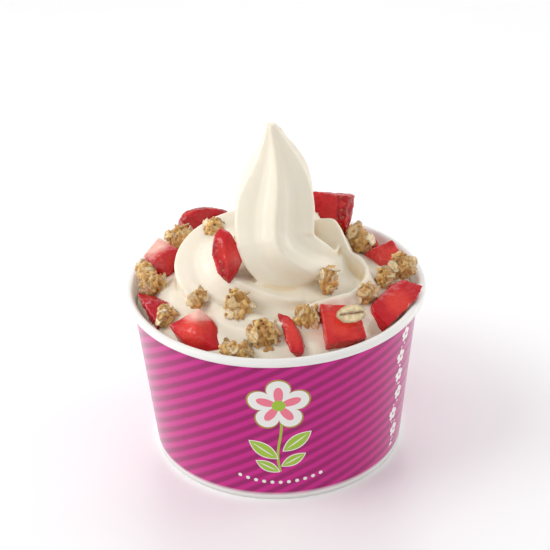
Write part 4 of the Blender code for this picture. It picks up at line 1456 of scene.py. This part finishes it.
    def dress(self, number: int, finish: bpy.types.Material) -> None:
        """Adds the piece with its finish."""
        add_piece(self.node + "_dressed", self.build(number), finish, [self.node])


class ClusterForm(Enum):
    """How a piece of granola is put together."""

    CLUMP = "clump"
    FLAKE = "flake"


@dataclass
class Morsel:
    """One crisp, oat flake or core of a cluster, with what the finish needs to know of it."""

    points: np.ndarray
    faces: list[tuple[int, ...]]
    flake: float
    tone: float
    crease: np.ndarray

    def moved(self, place: np.ndarray, turn: Sequence[float] = (0.0, 0.0, 0.0)) -> "Morsel":
        """Turns the morsel about its middle and puts it in its place."""
        spin = np.array(Euler([float(angle) for angle in turn]).to_matrix())
        self.points = self.points @ spin.T + place
        return self


def ball(subdivisions: int) -> tuple[np.ndarray, list[tuple[int, ...]]]:
    """The points and faces of a unit ball."""
    bm = bmesh.new()
    bmesh.ops.create_icosphere(bm, subdivisions=subdivisions, radius=1.0)
    points = np.array([vert.co[:] for vert in bm.verts])
    faces = [tuple(vert.index for vert in face.verts) for face in bm.faces]
    bm.free()
    return points, faces


@dataclass
class GranolaCluster:
    """One cluster of baked oats: half sizes in mm and turn in degrees.

    A clump is fitted to its node's box. A loose flake is put at its place from the middle of the
    rim, in mm.
    """

    node: str
    half_sizes: Point
    turn: float
    seed: int
    form: ClusterForm = ClusterForm.CLUMP
    at: Point = (0.0, 0.0, 0.0)
    voxel: float = 0.28 * MM
    crisps: int = 100
    oats: int = 7
    flake_size: Point = (8.0, 5.2, 1.05)
    loose_flake_scale: float = 1.38
    loose_flake_lean: float = 38.0
    core_share: float = 0.74
    lump: float = 0.34
    lump_size: float = 1 / 1.6

    def rolled_oat(self, rng: np.random.Generator, scale: float, whole: bool = False) -> Morsel:
        """One rolled oat: a ragged, wavy oval with a crease, often broken across.

        Args:
            rng: Draws its shape.
            scale: Its size against a full flake.
            whole: Whether it is unbroken and shows its crease.

        Returns:
            The oat, about its own middle.
        """
        points, faces = ball(4)
        shift = float(rng.uniform(0, 50))
        ragged = unevenness(points, 0.5, shift, 3)
        flat = np.sign(points[:, 2]) * np.abs(points[:, 2]) ** 0.7
        length, width, thickness = (size / 2 * scale for size in self.flake_size)
        outline = 1.0 + (0.13 if whole else 0.24) * ragged
        x, y = points[:, 0] * outline, points[:, 1] * outline
        broken = 2.0 if whole else rng.uniform(0.1, 1.3)
        x = np.minimum(x, broken + 0.12 * unevenness(points, 0.3, shift + 3.0, 2))
        groove = np.exp(-(y / 0.13) ** 2) * np.clip(1.15 - x ** 2, 0.0, 1.0)
        z = flat * thickness * (1.0 - 0.45 * groove)
        curl, cup = rng.uniform(-0.15, 0.20), rng.uniform(-0.14, 0.14)
        z = z + curl * length * (x ** 2 - 0.3) * 0.5 + cup * width * (y ** 2 - 0.3) * 0.6
        z = z + 0.6 * thickness * unevenness(points * (1.0, 1.0, 0.0), 0.45, shift + 7.0, 2)
        shape = np.stack([x * length, y * width, z], axis=1) * MM
        depth = 0.95 if whole else rng.uniform(0.2, 0.9)
        # Painted shade along the oat's groove; the edge mark below is the flake's own toast.
        crease = depth * np.exp(-(y / (0.15 if whole else 0.08)) ** 2) * (np.abs(x) < 0.82)
        edge = np.clip((np.hypot(x, y) - 0.76) / 0.25, 0.0, 1.0)
        return Morsel(shape, faces, 1.0, float(rng.uniform(0.2, 1.0)), np.maximum(crease, 0.55 * edge))

    def crisp(self, rng: np.random.Generator, radius: float) -> Morsel:
        """One crisp: a small knobbly grain."""
        points, faces = ball(2)
        knobs = 1.0 + 0.38 * unevenness(points, 0.8, float(rng.uniform(0, 50)), 2)
        stretch = np.array([rng.uniform(0.8, 1.7), rng.uniform(0.7, 1.1), rng.uniform(0.6, 1.0)])
        spin = np.array(Euler(rng.uniform(0, math.tau, 3)).to_matrix())
        shape = (points * knobs[:, None] * stretch) @ spin.T * radius * MM
        return Morsel(shape, faces, 0.0, float(rng.uniform(0.0, 1.0)), np.zeros(len(points)))

    def lumpiness(self, directions: np.ndarray) -> np.ndarray:
        """How far the cluster reaches in each direction, against its half sizes."""
        return 1.0 + self.lump * unevenness(directions, self.lump_size, self.seed * 3.1, 2)

    def core(self) -> Morsel:
        """The lump in the middle that holds the cluster together."""
        points, faces = ball(4)
        lump = self.lumpiness(points)
        half = np.array(self.half_sizes) * MM * self.core_share
        return Morsel(points * lump[:, None] * half, faces, 0.0, 0.3, np.zeros(len(points)))

    def clump(self, rng: np.random.Generator) -> list[Morsel]:
        """The morsels of a cluster: a core, crisps all over it, and oats among them."""
        half = np.array(self.half_sizes) * MM
        morsels = [self.core()]
        scale = min(1.0, max(self.half_sizes) / 5.5)
        count = round(self.crisps * scale ** 1.8)
        for index in range(count):
            up = 1.0 - 2.0 * (index + 0.5) / count
            angle = GOLDEN_ANGLE * index + rng.uniform(-0.3, 0.3)
            around = math.sqrt(1.0 - up * up)
            out = np.array([around * math.cos(angle), around * math.sin(angle), up])
            radius = 0.45 + 1.00 * rng.uniform() ** 1.5
            lump = float(self.lumpiness(out[None, :])[0])
            place = out * half * lump * rng.uniform(0.72, 0.94)
            morsels.append(self.crisp(rng, radius).moved(place))
        for index in range(max(3, round(self.oats * scale))):
            up = 0.95 - 1.5 * (index + 0.5) / self.oats
            angle = GOLDEN_ANGLE * index * 1.7 + self.seed
            around = math.sqrt(1.0 - up * up)
            out = Vector((around * math.cos(angle), around * math.sin(angle), up))
            lean = Euler((rng.uniform(-0.7, 0.7), rng.uniform(-0.7, 0.7), rng.uniform(0, math.tau)))
            turn = (out.to_track_quat("Z", "Y").to_matrix() @ lean.to_matrix()).to_euler()
            oat = self.rolled_oat(rng, scale * rng.uniform(0.6, 1.0))
            morsels.append(oat.moved(np.array(out) * half * rng.uniform(0.80, 0.96), turn))
        return morsels

    def single(self, rng: np.random.Generator) -> list[Morsel]:
        """The morsels of a loose oat flake, which leans to the front on a few crumbs."""
        morsels = [self.rolled_oat(rng, self.loose_flake_scale, whole=True)]
        for index in range(4):
            angle = index * 2.3
            place = np.array([3.4 * math.cos(angle), 2.2 * math.sin(angle), -0.6]) * MM
            morsels.append(self.crisp(rng, 0.6).moved(place))
        lean = np.array(Matrix.Rotation(math.radians(self.loose_flake_lean), 3, "X"))
        for morsel in morsels:
            morsel.points = morsel.points @ lean.T
        return morsels

    def build(self) -> bpy.types.Mesh:
        """Bakes the morsels together.

        Returns:
            The mesh, in the model's frame, with its oats, tones, creases and hollows stored on it.
        """
        rng = np.random.default_rng(SEED + self.seed)
        morsels = self.clump(rng) if self.form is ClusterForm.CLUMP else self.single(rng)
        points, faces, first = [], [], 0
        for morsel in morsels:
            points.append(morsel.points)
            faces += [tuple(index + first for index in face) for face in morsel.faces]
            first += len(morsel.points)
        source = np.concatenate(points)
        mesh = largest_shell(melted(mesh_from_arrays(self.node, source, faces), self.voxel, 1))
        self.remember(mesh, source, morsels)
        points = points_of(mesh)
        crumb = unevenness(points, 0.9 * MM, 3.0 * self.seed, 2) * (0.13 * MM)
        move_points(mesh, points + normals_of(mesh) * crumb[:, None])
        store(mesh, "hollow", hollowness(mesh, 14) / HOLLOW_UNIT)
        turned = np.array(Matrix.Rotation(math.radians(self.turn), 3, "Z"))
        placed = points_of(mesh) @ turned.T
        if self.form is ClusterForm.FLAKE:
            placed = placed + np.array(self.at) * MM + RIM_MIDDLE
        else:
            placed = fitted(placed, self.node)
        move_points(mesh, placed)
        return mesh

    def remember(self, mesh: bpy.types.Mesh, source: np.ndarray, morsels: list[Morsel]) -> None:
        """Stores on the baked skin what each spot was made of."""
        tree = search_tree(source)
        nearest = np.array([tree.find(point)[1] for point in points_of(mesh)])
        sizes = [len(morsel.points) for morsel in morsels]
        flake = np.repeat([morsel.flake for morsel in morsels], sizes)
        tone = np.repeat([morsel.tone for morsel in morsels], sizes)
        crease = np.concatenate([morsel.crease for morsel in morsels])
        store(mesh, "flake", flake[nearest])
        store(mesh, "tone", tone[nearest])
        store(mesh, "crease", crease[nearest])

    def dress(self, finish: bpy.types.Material) -> None:
        """Adds the cluster with its finish."""
        add_piece(self.node + "_dressed", self.build(), finish, [self.node])


def strawberries() -> list[StrawberryPiece]:
    """Every strawberry piece, clockwise from the back left."""
    return [
        StrawberryPiece("strawberry_back_left", (70, 0, 15), 26, 9,
                        ((-0.9, 0.8), (-0.9, 1.0), (-0.3, 0.3)), ripe_and_shade=0.8),
        StrawberryPiece("strawberry_left", corners=(
            (-50.5, 9.0, 7.5), (-44.5, 17.0, 11.5), (-36.5, 9.5, 9.8), (-43.5, 6.0, 9.2),
            (-41.4, 3.0, 1.5), (-48.0, 3.5, 3.5), (-46.0, 8.0, -3.0), (-38.0, 8.0, -2.0),
            (-42.0, 14.0, -2.0), (-49.0, 12.0, 0.0)), pale_at=(-47.0, 13.0, 11.0), pale=1.3,
            pale_reach=6.5, ripe_and_shade=0.45, fibers=0.5, lumps=0.3, smoothing=24),
        StrawberryPiece("strawberry_left_wall", corners=(
            (-52.3, -8.0, 0.6), (-46.1, -9.0, 0.4), (-38.5, -15.0, -0.2), (-44.0, -27.0, -1.4),
            (-50.6, -14.0, 1.4), (-44.0, -17.0, 2.2), (-49.0, -9.0, -5.0), (-42.0, -12.0, -6.0),
            (-40.0, -18.0, -6.0), (-44.0, -25.0, -6.5), (-47.0, -18.0, -6.0)),
            ripe_and_shade=1.0, fibers=1.8, lumps=0.6, smoothing=10),
        StrawberryPiece("strawberry_on_swirl", corners=(
            (-20.2, -8.5, 28.6), (-22.8, -12.0, 26.8), (-23.6, -16.0, 21.0), (-21.7, -18.5, 14.2),
            (-17.0, -21.5, 10.6), (-11.4, -18.0, 19.0), (-12.4, -16.0, 23.0), (-16.0, -12.0, 28.2),
            (-18.5, -15.5, 26.5), (-17.6, -20.5, 20.5), (-17.4, -22.5, 14.5), (-17.2, -5.0, 24.0),
            (-15.2, -9.0, 15.0), (-15.2, -13.0, 8.0)),
            skin_toward=(-1.0, -0.22, 0.05), pale_at=(-14.0, -19.0, 20.0), pale=0.35, fibers=0.5,
            lumps=0.20, smoothing=60),
        StrawberryPiece("strawberry_front_left", corners=(
            (-28.0, -31.0, 7.4), (-24.0, -33.0, 4.8), (-19.8, -37.0, -0.6), (-20.9, -45.0, -2.0),
            (-34.2, -39.5, -0.8), (-39.6, -33.0, 1.6), (-29.0, -41.5, 2.8), (-29.0, -28.0, 0.5),
            (-22.0, -31.0, -3.5), (-36.0, -29.0, -2.5), (-20.0, -42.0, -6.5), (-31.0, -41.0, -6.5),
            (-36.0, -34.0, -5.5)), skin_toward=(0.35, -0.55, -0.75), pale_at=(-28.0, -31.0, 8.0),
            pale=1.25, pale_reach=6.5, fibers=0.5, lumps=0.25, smoothing=36),
        StrawberryPiece("strawberry_front", corners=(
            (0.2, -34.0, 6.2), (4.7, -37.0, 6.4), (7.4, -42.0, 3.8), (9.2, -46.0, 0.6), (9.6, -50.0, -1.6),
            (4.6, -49.5, -1.2), (3.2, -45.5, 1.2), (2.0, -40.0, 3.2), (4.5, -33.0, 3.0), (8.5, -38.0, 1.0),
            (10.2, -44.0, -2.0), (3.0, -36.0, -2.0), (6.0, -44.0, -5.0), (8.0, -48.0, -5.5)),
            skin_toward=(-0.8, -0.6, 0.0), ripe_and_shade=0.2, fibers=0.5, lumps=0.3, smoothing=16),
        StrawberryPiece("strawberry_front_right", (35, 0, 8), 28, 12,
                        ((-0.5, 0.55), (-0.6, 0.6), (-0.5, 0.4)), pale_at=(18.0, -32.0, 7.0), pale=0.5),
        StrawberryPiece("strawberry_right", corners=(
            (35.4, -25.0, 3.2), (43.1, -13.0, 4.8), (48.3, -10.0, 5.2), (56.0, -12.4, 3.4),
            (53.4, -18.0, 2.0), (41.6, -32.5, -1.8), (35.4, -27.0, 2.0), (34.6, -22.5, -1.5),
            (42.5, -13.0, 0.2), (46.8, -11.0, 0.6), (51.2, -12.0, -0.8), (48.0, -17.5, -4.0),
            (38.5, -31.0, -6.5), (34.5, -25.0, -2.5)), skin_toward=(0.2, -0.6, -0.8), ripe_and_shade=0.15,
            fibers=0.4, lumps=0.3, smoothing=26),
        StrawberryPiece("strawberry_back_right", (45, -10, 40), 23, 7.5,
                        ((-0.5, 0.5), (-0.7, 0.7), (-0.4, 0.4))),
        StrawberryPiece("strawberry_back", corners=(
            (15.4, 27.0, 23.8), (16.5, 22.0, 3.0), (25.0, 24.0, 23.2), (23.5, 20.0, 2.0),
            (32.4, 29.0, 20.6), (28.5, 25.0, 2.0), (17.0, 33.0, 20.0), (31.0, 35.0, 18.0),
            (18.0, 36.0, 1.0), (28.0, 36.0, 0.0), (29.4, 25.5, 22.0), (27.0, 22.0, 2.5)),
            skin_toward=(0.80, -0.60, 0.0), ripe_and_shade=0.35, fibers=0.7, lumps=0.4, smoothing=14),
        StrawberryPiece("strawberry_back_wall", (75, 0, -52), 22, 8,
                        ((-0.9, 0.9), (-0.9, 0.9), (-0.2, 0.2)), ripe_and_shade=0.5),
        StrawberryPiece("strawberry_behind", (65, 0, -10), 28, 11,
                        ((-0.8, 0.8), (-0.8, 0.8), (-0.3, 0.3)), pale_at=(2.0, 46.0, 5.0), pale=0.8),
        StrawberryPiece("strawberry_behind_left", (10, 0, 35), 24, 9,
                        ((-0.6, 0.6), (-0.6, 0.6), (-0.5, 0.5)), ripe_and_shade=0.2),
    ]


def clusters() -> list[GranolaCluster]:
    """Every piece of granola, from the back left round the front."""
    return [
        GranolaCluster("granola_back_left", (7.2, 6.2, 6.2), 20, 1),
        GranolaCluster("granola_behind_slice", (5.6, 4.8, 5.0), 60, 2),
        GranolaCluster("granola_left_rim", (3.6, 4.2, 4.6), 10, 3),
        GranolaCluster("granola_left", (6.0, 4.8, 4.6), 40, 4),
        GranolaCluster("granola_left_front", (4.4, 4.8, 5.0), -30, 5),
        GranolaCluster("granola_left_flake", (4.8, 2.6, 3.6), 30, 6),
        GranolaCluster("granola_front_swirl", (6.2, 5.0, 7.6), -20, 7),
        GranolaCluster("granola_front", (6.8, 5.4, 7.6), 10, 8),
        GranolaCluster("granola_front_rim", (7.0, 3.6, 2.9), -18, 9),
        GranolaCluster("granola_front_right", (6.6, 4.8, 4.8), 15, 10),
        GranolaCluster("granola_in_fold", (4.4, 4.2, 6.0), 60, 11),
        GranolaCluster("granola_right_small", (5.4, 4.4, 4.2), 40, 12),
        GranolaCluster("granola_right_inner", (4.6, 4.2, 4.2), 70, 19),
        GranolaCluster("granola_right", (5.4, 5.8, 5.8), 90, 13),
        GranolaCluster("granola_back_right", (7.2, 5.8, 6.0), 130, 14),
        GranolaCluster("granola_behind_peak", (4.0, 4.0, 4.6), 150, 15),
        GranolaCluster("granola_behind", (6.4, 5.6, 5.0), 10, 16),
        GranolaCluster("granola_behind_right", (5.6, 4.6, 4.4), 40, 17),
        GranolaCluster("oat_flake_front_right", (5.2, 3.0, 2.4), 10, 18, ClusterForm.FLAKE,
                       at=(27.2, -39.8, 8.3)),
    ]


@dataclass
class Studio:
    """The camera, the table and soft light from all sides."""

    lens: float = 118.9
    distance: float = 0.600
    height: float = 0.415
    pitch: float = 29.90
    roll: float = -1.57
    sky: float = 0.54
    lit_place: Point = (0.0, 0.0, 0.07)
    lights: list[tuple[str, Point, float, float]] = field(default_factory=lambda: [
        ("key", (-0.60, -0.20, 0.75), 0.50, 3.2),
        ("fill", (0.70, -0.45, 0.45), 0.60, 0.2),
        ("front", (-0.10, -0.90, 0.30), 0.60, 1.0),
        ("back", (0.05, 0.80, 0.65), 0.80, 2.2),
        ("left_card", (-0.75, 0.25, 0.20), 0.50, 2.4),
        ("right_card", (0.75, 0.25, 0.20), 0.50, 2.4),
    ])

    def place_camera(self) -> None:
        """Adds the camera where the photograph was taken from."""
        data = bpy.data.cameras.new("camera")
        data.lens = self.lens
        data.sensor_width = 36.0
        data.clip_start = 0.01
        camera = linked("camera", data)
        camera.matrix_world = (
            Matrix.Translation((0.0, -self.distance, self.height))
            @ Matrix.Rotation(math.pi / 2 - math.radians(self.pitch), 4, "X")
            @ Matrix.Rotation(math.radians(self.roll), 4, "Z"))
        bpy.context.scene.camera = camera

    def place_lights(self) -> None:
        """Adds the soft boxes and the white surroundings."""
        for name, at, size, power in self.lights:
            data = bpy.data.lights.new(name, "AREA")
            data.shape = "DISK"
            data.size = size
            data.energy = power
            light = linked(name, data)
            light.location = at
            aim = Vector(self.lit_place) - Vector(at)
            light.rotation_euler = aim.to_track_quat("-Z", "Y").to_euler()
        world = bpy.data.worlds.new("studio")
        world.use_nodes = True
        background = world.node_tree.nodes["Background"]
        background.inputs["Color"].default_value = (1.0, 1.0, 1.0, 1.0)
        background.inputs["Strength"].default_value = self.sky
        bpy.context.scene.world = world
        bpy.context.scene.view_settings.view_transform = "Standard"

    def place_table(self, groups: ShaderGroups) -> None:
        """Adds the table top."""
        half, cells = 3.0, 24
        line = np.linspace(-half, half, cells + 1)
        points = np.array([(x, y, 0.0) for y in line for x in line])
        row = cells + 1
        faces = [(j * row + i, j * row + i + 1, (j + 1) * row + i + 1, (j + 1) * row + i)
                 for j in range(cells) for i in range(cells)]
        mesh = mesh_from_arrays("table", points, faces)
        mesh.materials.append(TableTop().build(groups))
        linked("table", mesh)


def main() -> None:
    """Builds the cup, the yogurt, the toppings and the studio."""
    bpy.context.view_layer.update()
    groups = ShaderGroups()
    studio = Studio()
    studio.place_camera()
    studio.place_lights()
    studio.place_table(groups)
    cup = PaperCup()
    cup.dress(groups)
    YogurtSwirl().dress(cup, groups)
    flesh = StrawberryFlesh().build(groups)
    for number, piece in enumerate(strawberries(), 1):
        piece.dress(number, flesh)
    oats = BakedOats().build(groups)
    for cluster in clusters():
        cluster.dress(oats)


if __name__ == "__main__":
    main()
